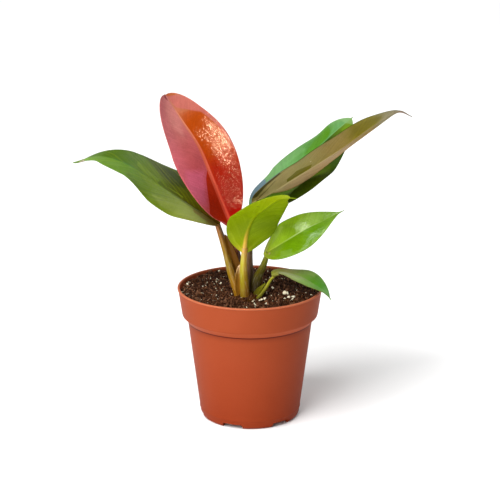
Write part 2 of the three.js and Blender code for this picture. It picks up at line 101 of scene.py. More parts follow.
# The same midribs, faces, folds and outlines as the solids have
LEAVES = {
    "red": {
        "petiole": [
            (-5, -5.5, 84), (-5.5, -5, 94), (-6, -5, 105), (-9, -6.5, 122), (-12, -8.5, 136),
            (-14, -8, 146),
        ],
        "half_widths": [2.8, 2.8, 2.4, 2.1],
        "midrib": [
            (-14, -8, 146), (-18, -4.5, 155), (-26.5, -3.5, 177), (-36, 0, 200), (-48, 6.5, 217.5),
            (-61, 22.5, 233.5),
        ],
        "face": [(0.38, -0.92, 0.14), (0.21, -0.95, 0.23), (0.15, -0.92, 0.37)],
        "fold": [(27, 26, 17), (15, 20, 8), (38, 41, 24)],
        "width": 46.5,
        "fullness": (0.55, 0.63),
        "drip_tip": 0.012,
        "lobe": 2.7,
        "wave": (3.6, -0.8, -1.4, 0),
    },
    "left": {
        "petiole": [
            (-8.4, -11.5, 84), (-8.4, -12, 94), (-9.9, -11.5, 100), (-13.6, -10, 112), (-16.9, -8, 125),
            (-21.5, -6, 144),
        ],
        "half_widths": [3.3, 3.7, 3, 2.2],
        "midrib": [
            (-21.5, -6, 144), (-33, -4, 152), (-49, 0.5, 161.5), (-65.5, 2, 171.5), (-85.5, 3.5, 185.5),
            (-107, 7, 191.5), (-126, 5, 187.5),
        ],
        "face": [(-0.09, -0.56, 0.82), (-0.02, -0.2, 0.98), (-0.71, -0.04, 0.7)],
        "fold": [(27, 28, -3), (9, 9, -11), (3, 3, -11)],
        "width": 52.5,
        "fullness": (0.78, 0.91),
        "drip_tip": 0.075,
        "lobe": 0,
        "wave": (3.1, 1.6, 0.5, 1),
    },
    "green": {
        "petiole": [
            (1, -5, 84), (1.5, -4.5, 94), (0.8, -3.5, 105), (0, 1, 120), (0.5, 10, 136), (1.5, 20, 151),
        ],
        "half_widths": [2, 2, 1.9, 1.8],
        "midrib": [
            (1.5, 20, 151), (13.5, 26, 159), (29.5, 34.5, 173.5), (45.5, 47, 184.5), (63, 54.5, 199),
            (76.5, 63, 208.5),
        ],
        "face": [
            (-0.48, -0.73, 0.49), (-0.55, -0.65, 0.52), (-0.57, -0.66, 0.49), (-0.48, -0.59, 0.65),
            (-0.37, -0.61, 0.7),
        ],
        "fold": [(15, 14, -25), (-9, 6, -23), (-6, 2, -23), (-13, 3, -24), (18, 12, -21)],
        "width": 50.5,
        "fullness": (0.71, 0.78),
        "drip_tip": 0.02,
        "lobe": 2,
        "wave": (0.2, 0.6, 0.2, 0.1),
    },
    "bronze": {
        "petiole": [
            (-1.5, -9.5, 84), (-1.5, -9, 94), (-1.5, -8.5, 108), (-0.5, -8, 124), (1, -8.5, 142),
            (3.5, -9.5, 163.5),
        ],
        "half_widths": [2, 2, 1.9, 1.7],
        "midrib": [
            (3.5, -9.5, 163.5), (13.5, -6.5, 168), (38, 5, 180.5), (64, 8.5, 196.5), (87, 13.5, 212),
            (104.5, 16.5, 222), (116, 21, 217.5),
        ],
        "face": [
            (-0.56, 0.17, 0.81), (-0.53, 0.52, 0.67), (-0.49, 0.64, 0.59), (-0.47, 0.61, 0.64),
            (-0.08, 0.47, 0.88),
        ],
        "fold": [(33, 48, -21), (16, 14, -19), (22, 15, -20), (25, 25, -18), (18, 25, -19)],
        "width": 42.5,
        "fullness": (0.58, 0.99),
        "drip_tip": 0.09,
        "lobe": 3,
        "wave": (-1.8, 0, 0.8, 0.3),
    },
    "lime": {
        "petiole": [
            (-3.2, -16.8, 84), (-3.4, -17.3, 94), (-4, -17.7, 104), (-4.5, -19, 116), (-4, -20, 129.5),
        ],
        "half_widths": [3.5, 3.4, 2.7, 2.1],
        "midrib": [
            (-4, -20, 129.5), (-2.5, -16, 141), (2, -16, 152), (9, -20.5, 159.5), (18.5, -22.5, 167),
            (26, -25, 169.5), (33, -23, 168.5),
        ],
        "face": [
            (-0.08, 0.98, -0.16), (-0.34, 0.92, 0.21), (-0.44, 0.78, 0.44), (-0.34, 0.72, 0.61),
            (-0.09, 0.65, 0.75),
        ],
        "fold": [(11, 10, -8), (-2, -6, -8), (5, -6, -7), (3, -11, -7), (9, 9, -7)],
        "width": 45,
        "fullness": (0.77, 0.78),
        "drip_tip": 0.09,
        "lobe": 2,
        "wave": (0.1, 0.7, 0.2, 0.6),
    },
    "right": {
        "petiole": [
            (3.5, -11.5, 84), (3.5, -12, 94), (3.8, -11, 102), (5.8, -9, 108), (9.2, -6.8, 113.8),
            (11.5, -5.5, 123.5),
        ],
        "half_widths": [2, 2, 2, 1.8, 1.6],
        "half_depths": [3.3, 3.4, 3.4, 2.4, 1.4],
        "midrib": [
            (11.5, -5.5, 123.5), (25, -10.5, 133.5), (40, -9, 142.5), (55, -5, 148.5), (67, -2.5, 154.5),
        ],
        "face": [(-0.27, -0.5, 0.82), (-0.36, -0.65, 0.66), (-0.34, -0.43, 0.84)],
        "fold": [(9, 10, -9), (10, 10, -11), (15, 15, -6)],
        "width": 32,
        "fullness": (0.67, 1.08),
        "drip_tip": 0.05,
        "lobe": 2.2,
        "wave": (1.4, 0.3, 1, -0.6),
    },
    "low": {
        "petiole": [
            (3.2, -17.6, 84), (4.2, -17.6, 91.5), (7.8, -15.2, 95.6), (11.8, -10.7, 99.7), (15, -6.5, 104),
            (17.5, -5, 107.5),
        ],
        "half_widths": [1.7, 1.7, 1.4, 1.1],
        "midrib": [
            (17.5, -5, 107.5), (22.5, -3.5, 108.5), (35.5, -9.5, 107), (45.5, -17, 103.5),
            (53.5, -23, 99.5), (57.5, -26, 95),
        ],
        "face": [
            (0.07, -0.08, 0.99), (0.14, -0.1, 0.98), (0.33, -0.26, 0.91), (0.48, -0.34, 0.81),
            (0.81, -0.3, 0.51),
        ],
        "fold": [(5, 16, -12), (5, 19, -10), (12, 17, -11), (18, 14, -9), (12, 13, -10)],
        "width": 25.5,
        "fullness": (0.64, 0.94),
        "drip_tip": 0.04,
        "lobe": 2,
        "wave": (-0.5, 0.2, 0.3, 0.5),
    },
}

SHEATHS = {
    "front": {
        "midrib": [(-6.8, -14.8, 94.5), (-8, -14.8, 103), (-8.3, -14.6, 111), (-7.2, -14.5, 117.5)],
        "face": [(0.3, -0.95, 0), (0.3, -0.95, 0.1)],
        "width": 7.5,
    },
    "back": {
        "midrib": [(5.8, -6.5, 95), (7, -3.5, 104), (7.4, -1, 113)],
        "face": [(-0.3, -0.9, 0.2), (-0.3, -0.9, 0.3)],
        "width": 6,
    },
    "left": {
        "midrib": [
            (-7.4, -8.4, 96), (-9.4, -8.9, 110), (-12.4, -9.5, 122), (-15.8, -9.3, 133), (-18, -8.9, 138.5),
        ],
        "face": [(0.1, -1, 0), (0.1, -1, 0.1)],
        "width": 9,
    },
    "low": {
        "midrib": [(3.4, -16.2, 94.8), (7, -13.9, 99), (11, -10.7, 102.4)],
        "face": [(-0.3, -0.9, 0.4), (-0.3, -0.8, 0.5)],
        "width": 4.5,
        "fullness": (0.35, 1.1),
    },
}
SHEATH_SHAPE = {
    "fold": [(8, 8, 30), (8, 8, 40)],
    "fullness": (0.2, 0.6),
    "drip_tip": 0.02,
    "lobe": 0,
    "wave": (0, 0, 0, 0),
}


# Colours are written as they look in the studio, as 0 to 255 sRGB. The light on most surfaces is
# stronger than 1, and their gloss adds a little white, so a surface's own colour is darker.
FRONT_LIGHT = 1.9
GLOSS = 0.014
BLACK = (0, 0, 0, 1)
WHITE = (1, 1, 1, 1)
BRIGHTER = (1.4, 1.4, 1.4, 1)


def srgb(red, green, blue, light=FRONT_LIGHT):
    """A surface's own linear RGBA colour, from the look it has in that much light."""
    def own(channel):
        value = channel / 255
        linear = value / 12.92 if value <= 0.04045 else ((value + 0.055) / 1.055) ** 2.4
        return min(max(linear / light - GLOSS, 0.0005), 1)
    return (own(red), own(green), own(blue), 1.0)


# Curves

def unit(vectors):
    return vectors / np.maximum(np.linalg.norm(vectors, axis=-1, keepdims=True), 1e-9)


def through(points, t):
    """Points at t, from 0 to 1, on the Catmull-Rom curve through points."""
    points = np.asarray(points, float)
    last = len(points) - 1
    t = np.clip(np.asarray(t, float), 0, 1) * last
    index = np.minimum(t.astype(int), last - 1)
    w = t - index
    if points.ndim > 1:
        w = w[:, None]
    ends = np.concatenate([[2 * points[0] - points[1]], points, [2 * points[-1] - points[-2]]])
    p0, p1, p2, p3 = (ends[index + k] for k in range(4))
    v0, v1 = (p2 - p0) / 2, (p3 - p1) / 2
    return (2 * p1 - 2 * p2 + v0 + v1) * w ** 3 + (3 * p2 - 3 * p1 - 2 * v0 - v1) * w ** 2 + v0 * w + p1


def along(points, u):
    """Points and unit tangents at shares u of the curve's length, and that length."""
    samples = np.linspace(0, 1, 201)
    steps = np.linalg.norm(np.diff(through(points, samples), axis=0), axis=1)
    lengths = np.concatenate([[0], np.cumsum(steps)])
    t = np.interp(np.asarray(u) * lengths[-1], lengths, samples)
    step = 1e-4
    tangents = through(points, np.minimum(t + step, 1)) - through(points, np.maximum(t - step, 0))
    return through(points, t), unit(tangents), lengths[-1]


def smooth(low, high, value):
    share = np.clip((value - low) / (high - low), 0, 1)
    return share * share * (3 - 2 * share)


def distance_to_path(x, y, path):
    """The distance of each point (x, y) from a polyline."""
    nearest = np.full(x.shape, np.inf)
    for (ax, ay), (bx, by) in zip(path, path[1:]):
        dx, dy = bx - ax, by - ay
        t = np.clip(((x - ax) * dx + (y - ay) * dy) / max(dx * dx + dy * dy, 1e-9), 0, 1)
        nearest = np.minimum(nearest, np.hypot(x - ax - t * dx, y - ay - t * dy))
    return nearest


def flat_distance(x, y, outline):
    """The distance of each point (x, y) outside a closed outline, negative inside it."""
    nearest = distance_to_path(x, y, outline + outline[:1])
    inside = np.zeros(x.shape, bool)
    for (ax, ay), (bx, by) in zip(outline, outline[1:] + outline[:1]):
        if ay != by:
            crossing = (ay > y) != (by > y)
            inside ^= crossing & (x < (bx - ax) * (y - ay) / (by - ay) + ax)
    return np.where(inside, -nearest, nearest)


# Meshes

def circle(sides):
    return 2 * np.pi * np.arange(sides) / sides


def make_mesh(name, vertices, faces, materials, kinds=None, attributes=None):
    mesh = bpy.data.meshes.new(name)
    mesh.from_pydata(((np.asarray(vertices) + POT_AXIS) * MM).tolist(), [], faces)
    for material in materials:
        mesh.materials.append(material)
    if kinds is not None:
        mesh.polygons.foreach_set("material_index", kinds)
    mesh.polygons.foreach_set("use_smooth", [True] * len(mesh.polygons))
    for label, values in (attributes or {}).items():
        values = np.asarray(values, float)
        flat = values.ndim == 1
        layer = mesh.attributes.new(label, "FLOAT" if flat else "FLOAT_VECTOR", "POINT")
        layer.data.foreach_set("value" if flat else "vector", values.ravel())
    mesh.update()
    piece = bpy.data.objects.new(name, mesh)
    bpy.context.collection.objects.link(piece)
    return piece


def keep(piece, slot, *nodes):
    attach(piece, ROOT)
    if nodes:
        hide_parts(*nodes)


def quads(grid, flip=False):
    a, b, c, d = grid[:-1, :-1], grid[:-1, 1:], grid[1:, 1:], grid[1:, :-1]
    corners = [a, d, c, b] if flip else [a, b, c, d]
    return np.stack(corners, -1).reshape(-1, 4).tolist()


def ring_faces(rows, sides, flip=False):
    """The faces between closed rings of points."""
    index = np.arange(rows * sides).reshape(rows, sides)
    return quads(np.concatenate([index, index[:, :1]], 1), flip)


def weld(piece, distance=0.004):
    """Welds the rows that run together, and turns every face outwards."""
    work = bmesh.new()
    work.from_mesh(piece.data)
    bmesh.ops.remove_doubles(work, verts=work.verts, dist=distance * MM)
    bmesh.ops.recalc_face_normals(work, faces=work.faces)
    work.to_mesh(piece.data)
    work.free()


# Leaf blades

def half_width_at(leaf, u):
    p, q = leaf["fullness"]
    v = np.minimum(1, u / (1 - leaf["drip_tip"]))
    peak = (p / (p + q)) ** p * (q / (p + q)) ** q
    outline = leaf["width"] / 2 * v ** p * (1 - v) ** q / peak
    return outline + DRIP_HALF_WIDTH * np.minimum(1, (1 - u) / leaf["drip_tip"]) * v ** 6


def blade_grid(leaf, u, shares):
    """Grids of middle points and upper-side normals, half widths along u, and the midrib's length."""
    origin, tangent, length = along(leaf["midrib"], u)
    face = unit(through(leaf["face"], u))
    normal = unit(face - (face * tangent).sum(1, keepdims=True) * tangent)
    rightward = np.cross(tangent, normal)
    folds = through(leaf["fold"], u)
    half_width = half_width_at(leaf, u)
    points = np.zeros((len(u), len(shares), 3))
    normals = np.zeros_like(points)
    middle = (np.arange(8) + 0.5) / 8
    ripple_size = np.sqrt(np.maximum(np.sin(np.pi * u), 0))
    for j, share in enumerate(shares):
        a, side = abs(share), np.sign(share)
        fold = folds[:, 0] if side < 0 else folds[:, 1]
        size, phase = leaf["wave"][:2] if side < 0 else leaf["wave"][2:]
        angles = np.radians(fold[:, None] + folds[:, 2:3] * a * middle[None])
        reach = np.cos(angles).mean(1) * a * half_width
        lift = np.sin(angles).mean(1) * a * half_width
        lift += size * a ** 2 * np.sin(3 * np.pi * u + phase) * ripple_size
        back = leaf["lobe"] * a * np.maximum(0, 1 - 4 * u) ** 2
        turn = np.radians(fold + folds[:, 2] * a)
        points[:, j] = origin + side * rightward * reach[:, None] + normal * lift[:, None]
        points[:, j] -= tangent * back[:, None]
        normals[:, j] = unit(normal * np.cos(turn)[:, None] - side * rightward * np.sin(turn)[:, None])
    return points, normals, half_width, length


def mark_mask(mark, share, across, ahead, path):
    """How strongly a mark covers each point of a blade."""
    if mark.width:
        depth = distance_to_path(across, ahead, path) - mark.width / 2
    else:
        depth = flat_distance(across, ahead, path)
    mask = smooth(mark.soft, -mark.soft, depth)
    if mark.half:
        mask = mask * (np.sign(share) != -mark.half)
    return mask


def both_sides(upper, lower):
    """The values of a blade's two grids, in one list."""
    grids = np.stack([upper, lower])
    return grids.reshape(-1, *grids.shape[3:])


def blade(name, leaf, upper, lower, marks, relief=0.2, rib=(1.0, 0.2), rows=130, columns=34):
    """A thin blade. relief is the height of its swells, and rib that of the midrib below and above."""
    even = np.linspace(0, 1, rows + 1)
    u = 0.6 * even + 0.4 * (1 - np.cos(np.pi * even)) / 2
    half = np.linspace(0, 1, columns + 1)
    half = 0.5 * half + 0.5 * half ** 1.6
    shares = np.concatenate([-half[:0:-1], half])
    points, normals, half_width, length = blade_grid(leaf, u, shares)
    u2 = np.repeat(u[:, None], len(shares), 1)
    share = np.repeat(shares[None], len(u), 0)
    wide = np.repeat(half_width[:, None], len(shares), 1)
    across, ahead = share * wide, u2 * length
    out = np.abs(across)
    seed = leaf["seed"]
    swell = np.sin(ahead / 7.3 + 2.1 * share + seed) * np.sin(across / 6.1 + ahead / 23 + 1.7 * seed)
    points += normals * (relief * swell * smooth(1, 8, out))[..., None]
    ridge = np.exp(-(across / (1.5 - u2)) ** 2) * (1 - u2) ** 0.7
    edge = np.abs(share) ** 4
    half_thick = MIDRIB_HALF_THICKNESS * (1 - edge) + MARGIN_HALF_THICKNESS * edge
    top = points + normals * (half_thick + rib[1] * ridge)[..., None]
    bottom = points - normals * (half_thick + rib[0] * ridge)[..., None]
    index = np.arange(u2.size).reshape(u2.shape)
    under = index + u2.size
    parts = [
        (quads(index), 0), (quads(under, True), 1),
        (quads(np.stack([index[:, 0], under[:, 0]], 1)), 0),
        (quads(np.stack([under[:, -1], index[:, -1]], 1)), 0),
    ]
    faces = [face for group, _ in parts for face in group]
    kinds = [kind for group, kind in parts for _ in group]
    grids = {"place": np.stack([across, ahead, u2], -1), "share": share, "from_edge": wide - out}
    for mark in marks:
        path = [(part * np.interp(at, u, half_width), at * length) for at, part in mark.path]
        grids[mark.name] = mark_mask(mark, share, across, ahead, path)
    attributes = {label: both_sides(grid, grid) for label, grid in grids.items()}
    piece = make_mesh(name, both_sides(top, bottom), faces, [upper, lower], kinds, attributes)
    weld(piece)
    return piece


# Petioles and crown

def petiole(name, leaf, material, rows=70, sides=36):
    """A leaf stalk with fine strands, grooved on the side that faces the crown."""
    points = np.asarray(leaf["petiole"], float)
    _, tangent, _ = along(leaf["midrib"], np.array([0.0]))
    points[-1] += STALK["blade_lap"] * tangent[0]
    u = np.linspace(0, 1, rows + 1)
    centre, tangent, length = along(points, u)
    inward = np.array([CROWN["x"], CROWN["y"], 0]) - centre
    inward[:, 2] = 0
    groove = unit(inward - (inward * tangent).sum(1, keepdims=True) * tangent)
    across = np.cross(tangent, groove)
    half = through(leaf["half_widths"], u)
    deep = through(leaf["half_depths"], u) if "half_depths" in leaf else STALK["depth_to_width"] * half
    angle = circle(sides)
    from_groove = np.abs(angle - np.pi / 2)
    outline = 1 - STALK["groove"] * np.exp(-(from_groove / 0.42) ** 2)
    outline += STALK["groove_edge"] * np.exp(-((from_groove - 0.75) / 0.25) ** 2)
    strands = STALK["strand_height"] * (np.sin(9 * angle) + 0.6 * np.sin(14 * angle + 1))
    wobble = STALK["wobble"] * np.sin(u * length / 4.1 + leaf["seed"])[:, None] * np.cos(angle)
    size = outline + wobble + strands / half[:, None]
    x = np.cos(angle) * size * half[:, None]
    z = np.sin(angle) * size * deep[:, None]
    rings = centre[:, None] + across[:, None] * x[..., None] + groove[:, None] * z[..., None]
    vertices = np.vstack([rings.reshape(-1, 3), centre[:1], centre[-1:]])
    faces = ring_faces(rows + 1, sides)
    foot, tip, last_ring = len(vertices) - 2, len(vertices) - 1, rows * sides
    for k in range(sides):
        following = (k + 1) % sides
        faces += [(foot, following, k), (tip, last_ring + k, last_ring + following)]
    place = np.stack([np.tile(angle, rows + 1), np.repeat(u * length, sides), np.repeat(u, sides)], -1)
    place = np.vstack([place, [[0, 0, 0], [0, length, 1]]])
    side = ((rings[..., 0] - centre[:, None, 0]) / half[:, None]).ravel()
    piece = make_mesh(name, vertices, faces, [material],
                      attributes={"place": place, "side": np.append(side, [0, 0])})
    weld(piece)
    return piece


def crown(material, rings=40, sides=96):
    """The short stem, with the wrapped edges of old leaf bases."""
    wide, foot, shoulder, top = (CROWN[key] for key in ("radius", "foot", "shoulder", "top"))
    profile = [
        (0, foot), (0.7 * wide, foot), (0.95 * wide, foot + 4), (wide, shoulder),
        (0.85 * wide, shoulder + 2.8), (0.55 * wide, top - 0.8), (0, top),
    ]
    outline = through(profile, np.linspace(0, 1, rings + 1))
    angle = circle(sides)
    wrap = 0.35 * np.cos(5 * angle + 0.8) + 0.25 * np.cos(8 * angle + 2)
    strands = 0.1 * np.sin(31 * angle) + 0.08 * np.sin(47 * angle + 1)
    radius = np.repeat(outline[:, :1], sides, 1)
    height = np.repeat(outline[:, 1:], sides, 1)
    carve = smooth(0, 4, radius)
    radius = np.maximum(radius + carve * (0.6 * wrap + strands - 0.3), 0)
    height += 0.5 * np.sin(3 * angle + 0.5) * smooth(shoulder - 2, top - 1.5, height) * carve
    x = CROWN["x"] + radius * np.cos(angle)
    y = CROWN["y"] + radius * np.sin(angle)
    points = np.stack([x, y, height], -1).reshape(-1, 3)
    piece = make_mesh("crown_finish", points, ring_faces(rings + 1, sides), [material])
    weld(piece)
    return piece


# Pot

def outer_radius(z):
    corners = [POT["wall_foot"], POT["wall_top"], POT["band_foot"], (POT["rim_radius"], POT["height"])]
    radii, heights = zip(*corners)
    return np.interp(z, heights, radii)


def inner_radius(z):
    return outer_radius(z) - POT["wall"]


def shifted(corner, steps):
    """Outline points, each by its step outward and up from a corner."""
    return [(corner[0] + dx, corner[1] + dz) for dx, dz in steps]


def pot_profile():
    """Outline of the pot's wall from the middle of the underside, up the outside and down the inside."""
    foot, under, top = POT["foot_radius"], POT["plate_underside"], POT["height"]
    ring = foot - POT["ring_width"]
    wall, seam, band = (POT[corner][1] for corner in ("wall_foot", "wall_top", "band_foot"))
    lip = (POT["rim_radius"] - 0.5, top - 1.4)
    outside = [
        (0, under), (ring - 1, under), (ring - 0.3, under - 0.2), (ring, under - 0.8), (ring, 0.4),
        (ring + 0.35, 0), (foot - 0.5, 0), (foot, 0.35), (foot + 0.9, 1.4), (foot + 1.15, 2),
    ]
    outside += shifted(POT["wall_foot"], [
        (-0.15, -0.6), (0, 0), (0.12, 0.6), (0.26, 0.95), (0.39, 1.2), (0.39, 1.6),
    ])
    outside += [(outer_radius(z), z) for z in np.linspace(wall + 3, seam - 1.5, 22)]
    outside += shifted(POT["wall_top"], [(-0.1, -0.5), (0.15, 0.1), (0.7, 0.8), (2.4, 2.9)])
    outside += shifted(POT["band_foot"], [(-0.6, -0.6), (-0.15, -0.15), (0.1, 0.6)])
    for z in np.linspace(band + 2, top - 2.5, 9):
        outside.append((np.interp(z, [band, lip[1]], [POT["band_foot"][0], lip[0]]), z))
    outside += shifted(lip, [
        (0, -0.1), (0.25, 0.05), (0.45, 0.35), (0.5, 0.7), (0.42, 1.05), (0.2, 1.3), (-0.1, 1.4),
        (-0.7, 1.38), (-1, 1.25), (-1.12, 1),
    ])
    heights = [
        *np.linspace(top - 1.5, band + 1, 8), *np.linspace(band, seam, 4),
        *np.linspace(seam - 2.5, POT["floor"], 12),
    ]
    return outside + [(inner_radius(z), z) for z in heights] + [(0, POT["floor"])]


def pot(material):
    """The turned wall, less the slots in its foot and the drain holes between them."""
    profile = np.array(pot_profile())
    sides = POT["segments"]
    angle = circle(sides)
    radius, height = np.repeat(profile[:, :1], sides, 1), np.repeat(profile[:, 1:], sides, 1)
    rings = np.stack([radius * np.cos(angle), radius * np.sin(angle), height], -1)
    piece = make_mesh("pot_wall", rings.reshape(-1, 3), ring_faces(len(profile), sides), [material])
    weld(piece)
    cutters = []
    step = 360 / POT["slots"]
    for k in range(POT["slots"]):
        degrees = POT["first_slot_degrees"] + step * k
        cutters.append(slot_cutter(math.radians(degrees)))
        cutters.append(drain_cutter(math.radians(degrees + step / 2)))
    vertices, faces = [], []
    for cutter_vertices, cutter_faces in cutters:
        base = len(vertices)
        vertices.extend(cutter_vertices)
        faces.extend([tuple(base + v for v in face) for face in cutter_faces])
    cutter = make_mesh("slot_cutter", vertices, faces, [material])
    weld(cutter)
    cut = piece.modifiers.new("cut", "BOOLEAN")
    cut.operation = "DIFFERENCE"
    cut.solver = "EXACT"
    cut.object = cutter
    apply_modifiers(piece)
    bpy.data.objects.remove(cutter)
    piece.data.set_sharp_from_angle(angle=math.radians(POT["sharp_degrees"]))
    return piece


def turned_point(x, y, z, turn):
    return (x * math.cos(turn) - y * math.sin(turn), x * math.sin(turn) + y * math.cos(turn), z)


def slot_cutter(turn, reach=6):
    """A low opening in the foot, with rounded upper corners."""
    half, high = POT["slot_width"] / 2, POT["slot_height"]
    outline = [
        (-half, -2), (half, -2), (half, high - 1.2), (half - 0.35, high - 0.35), (half - 1.2, high),
        (-half + 1.2, high), (-half + 0.35, high - 0.35), (-half, high - 1.2),
    ]
    ends = (-POT["foot_radius"] - reach, -POT["foot_radius"] + reach)
    vertices = [turned_point(x, y, z, turn) for y in ends for x, z in outline]
    return vertices, prism_faces(len(outline))


def drain_cutter(turn, sides=32):
    radius, out = POT["drain_hole_radius"], POT["drain_circle_radius"]
    outline = [(radius * math.cos(angle), radius * math.sin(angle) - out) for angle in circle(sides)]
    ends = (0, POT["floor"] + 3.3)
    vertices = [turned_point(x, y, z, turn) for z in ends for x, y in outline]
    return vertices, [tuple(reversed(face)) for face in prism_faces(sides)]


def prism_faces(count):
    around = [(k, (k + 1) % count, count + (k + 1) % count, count + k) for k in range(count)]
    return around + [tuple(reversed(range(count))), tuple(range(count, 2 * count))]


def apply_modifiers(piece):
    evaluated = piece.evaluated_get(bpy.context.evaluated_depsgraph_get())
    mesh = bpy.data.meshes.new_from_object(evaluated)
    piece.modifiers.clear()
    piece.data = mesh


# Soil

def soil_height(x, y):
    length = SOIL["lump_length"]
    coarse = np.sin(x / length + 0.8) * np.cos(y / length - 0.5)
    fine = np.sin((x + 0.6 * y) / (0.37 * length)) * np.sin((y - 0.5 * x) / (0.41 * length) + 1)
    return SOIL["height"] + SOIL["slope_to_back"] * y + SOIL["lump"] * (coarse + fine)


def ground_height(x, y):
    """The soil's surface, heaped over the crown."""
    from_crown = np.hypot(x - CROWN["x"], y - CROWN["y"])
    distances, heights = zip(*SOIL["heap"])
    return np.maximum(soil_height(x, y), np.interp(from_crown, distances, heights))


def soil_bed(material, rings=70, sides=220):
    """The body of the soil, with clods on its surface."""
    gap = SOIL["wall_gap"]
    radius = np.linspace(0, 1, rings) ** 0.8 * (inner_radius(SOIL["height"]) - gap)
    angle = circle(sides)
    x, y = radius[:, None] * np.cos(angle), radius[:, None] * np.sin(angle)
    z = soil_height(x, y)
    clods = np.zeros_like(x)
    random = np.random.default_rng(11)
    for scale, size in ((2.6, 0.5), (1.3, 0.3), (0.7, 0.16)):
        for _ in range(5):
            heading = random.uniform(0, 2 * np.pi)
            phase = random.uniform(0, 2 * np.pi)
            clods += size * np.sin((x * np.cos(heading) + y * np.sin(heading)) / scale + phase) / 2.2
    top = np.stack([x, y, z + clods - 0.6], -1)
    bottom = POT["floor"] + 0.4
    heights = (SOIL["height"] - 4, POT["band_foot"][1], POT["wall_top"][1], 40, bottom)
    edges = [(inner_radius(height) - gap, height) for height in heights] + [(0, bottom)]
    walls = [np.stack([edge * np.cos(angle), edge * np.sin(angle), np.full(sides, float(height))], -1)
             for edge, height in edges]
    rows = np.concatenate([top, np.array(walls)])
    piece = make_mesh("soil_bed", rows.reshape(-1, 3), ring_faces(len(rows), sides, True), [material])
    weld(piece, 0.01)
    return piece


def lump_mesh(random, radius, level, rough, stretch):
    """An irregular lump: an icosphere pushed in and out."""
    vertices, faces = ICO[level]
    heading = unit(random.normal(size=(5, 3)))
    size = np.ones(len(vertices))
    for direction in heading:
        wave = 2.6 * vertices @ direction * random.uniform(0.8, 1.8)
        size += rough * np.sin(wave + random.uniform(0, 6))
    body = vertices * size[:, None] * radius * np.asarray(stretch)
    turn = random.uniform(0, 2 * np.pi, 3)
    return body @ rotation(*turn), faces


def rotation(a, b, c):
    ca, sa, cb, sb, cc, sc = np.cos(a), np.sin(a), np.cos(b), np.sin(b), np.cos(c), np.sin(c)
    about_z = np.array([[ca, -sa, 0], [sa, ca, 0], [0, 0, 1]])
    about_y = np.array([[cb, 0, sb], [0, 1, 0], [-sb, 0, cb]])
    about_x = np.array([[1, 0, 0], [0, cc, -sc], [0, sc, cc]])
    return about_z @ about_y @ about_x


def icosphere(level):
    work = bmesh.new()
    bmesh.ops.create_icosphere(work, subdivisions=level, radius=1)
    vertices = np.array([v.co[:] for v in work.verts])
    faces = np.array([[v.index for v in face.verts] for face in work.faces])
    work.free()
    return vertices, faces


def joined(name, lumps, tints, material):
    """One piece from many small meshes, each with a tint of its own."""
    vertices, faces, tones = [], [], []
    base = 0
    for (body, body_faces), tint in zip(lumps, tints):
        vertices.append(body)
        faces.extend((body_faces + base).tolist())
        base += len(body)
        tones.append(np.full(len(body), tint))
    return make_mesh(name, np.vstack(vertices), faces, [material],
                     attributes={"tone": np.concatenate(tones)})


def in_pot(random, count, inset=1.2):
    """Random places on the soil."""
    reach = inner_radius(POT["height"])
    places = []
    while len(places) < count:
        x, y = random.uniform(-reach, reach, 2)
        if math.hypot(x, y) <= inner_radius(SOIL["height"]) - inset:
            places.append((x, y))
    return places


def crumbs(material, count=4200):
    random = np.random.default_rng(3)
    lumps, tints = [], []
    for x, y in in_pot(random, count):
        radius = 0.3 + 0.7 * random.random() ** 3
        level = 1 if radius < 0.6 else 2
        stretch = (random.uniform(0.9, 2.3), random.uniform(0.5, 0.95), random.uniform(0.45, 0.85))
        body, faces = lump_mesh(random, radius, level, 0.16, stretch)
        height = ground_height(x, y) + random.uniform(-0.6, 0.2) + 0.35 * radius
        lumps.append((body + [x, y, height], faces))
        tints.append(random.random())
    return joined("soil_crumbs", lumps, tints, material)


# Larger perlite grains: place, radius and stretch along x
NUGGETS = [
    (24.7, -8.5, 1.5, 1.3), (26.9, -8.9, 1.1, 0.9), (27.8, -16.4, 1.2, 1), (31, -15.5, 1.1, 1.2),
    (30.3, -20.8, 0.8, 1), (7, -22, 0.6, 1.4), (8.6, -20.8, 0.8, 1.5), (10.4, -19.6, 0.9, 1.3),
    (16.7, 1.2, 0.9, 1.2), (11.6, -27.8, 0.7, 1), (2.7, -22.2, 0.5, 1), (-23, 41, 0.7, 1),
    (-24.5, 23, 0.7, 1.2), (-21.4, 14, 0.7, 1), (-24, -12, 0.5, 1), (13.3, 40.5, 0.6, 1),
    (-45.5, 12, 1.1, 1), (-44.5, 15.5, 0.8, 1.2), (40, -8.5, 0.6, 1), (44, -13, 0.7, 1),
]


def perlite(material, count=230):
    random = np.random.default_rng(8)
    lumps, tints = [], []
    for x, y in in_pot(random, count):
        radius = 0.16 + 0.46 * random.random() ** 3
        stretch = (random.uniform(0.8, 1.5), random.uniform(0.7, 1.1), random.uniform(0.6, 0.9))
        body, faces = lump_mesh(random, radius, 2 if radius > 0.35 else 1, 0.14, stretch)
        lumps.append((body + [x, y, ground_height(x, y) + 0.25 + 0.4 * radius], faces))
        tints.append(random.random())
    for x, y, radius, stretch in NUGGETS:
        body, faces = lump_mesh(random, radius, 3, 0.16, (stretch, 0.85, 0.75))
        lumps.append((body + [x, y, soil_height(x, y) + 0.25 + 0.4 * radius], faces))
        tints.append(0.25 + 0.5 * random.random())
    return joined("soil_perlite", lumps, tints, material)


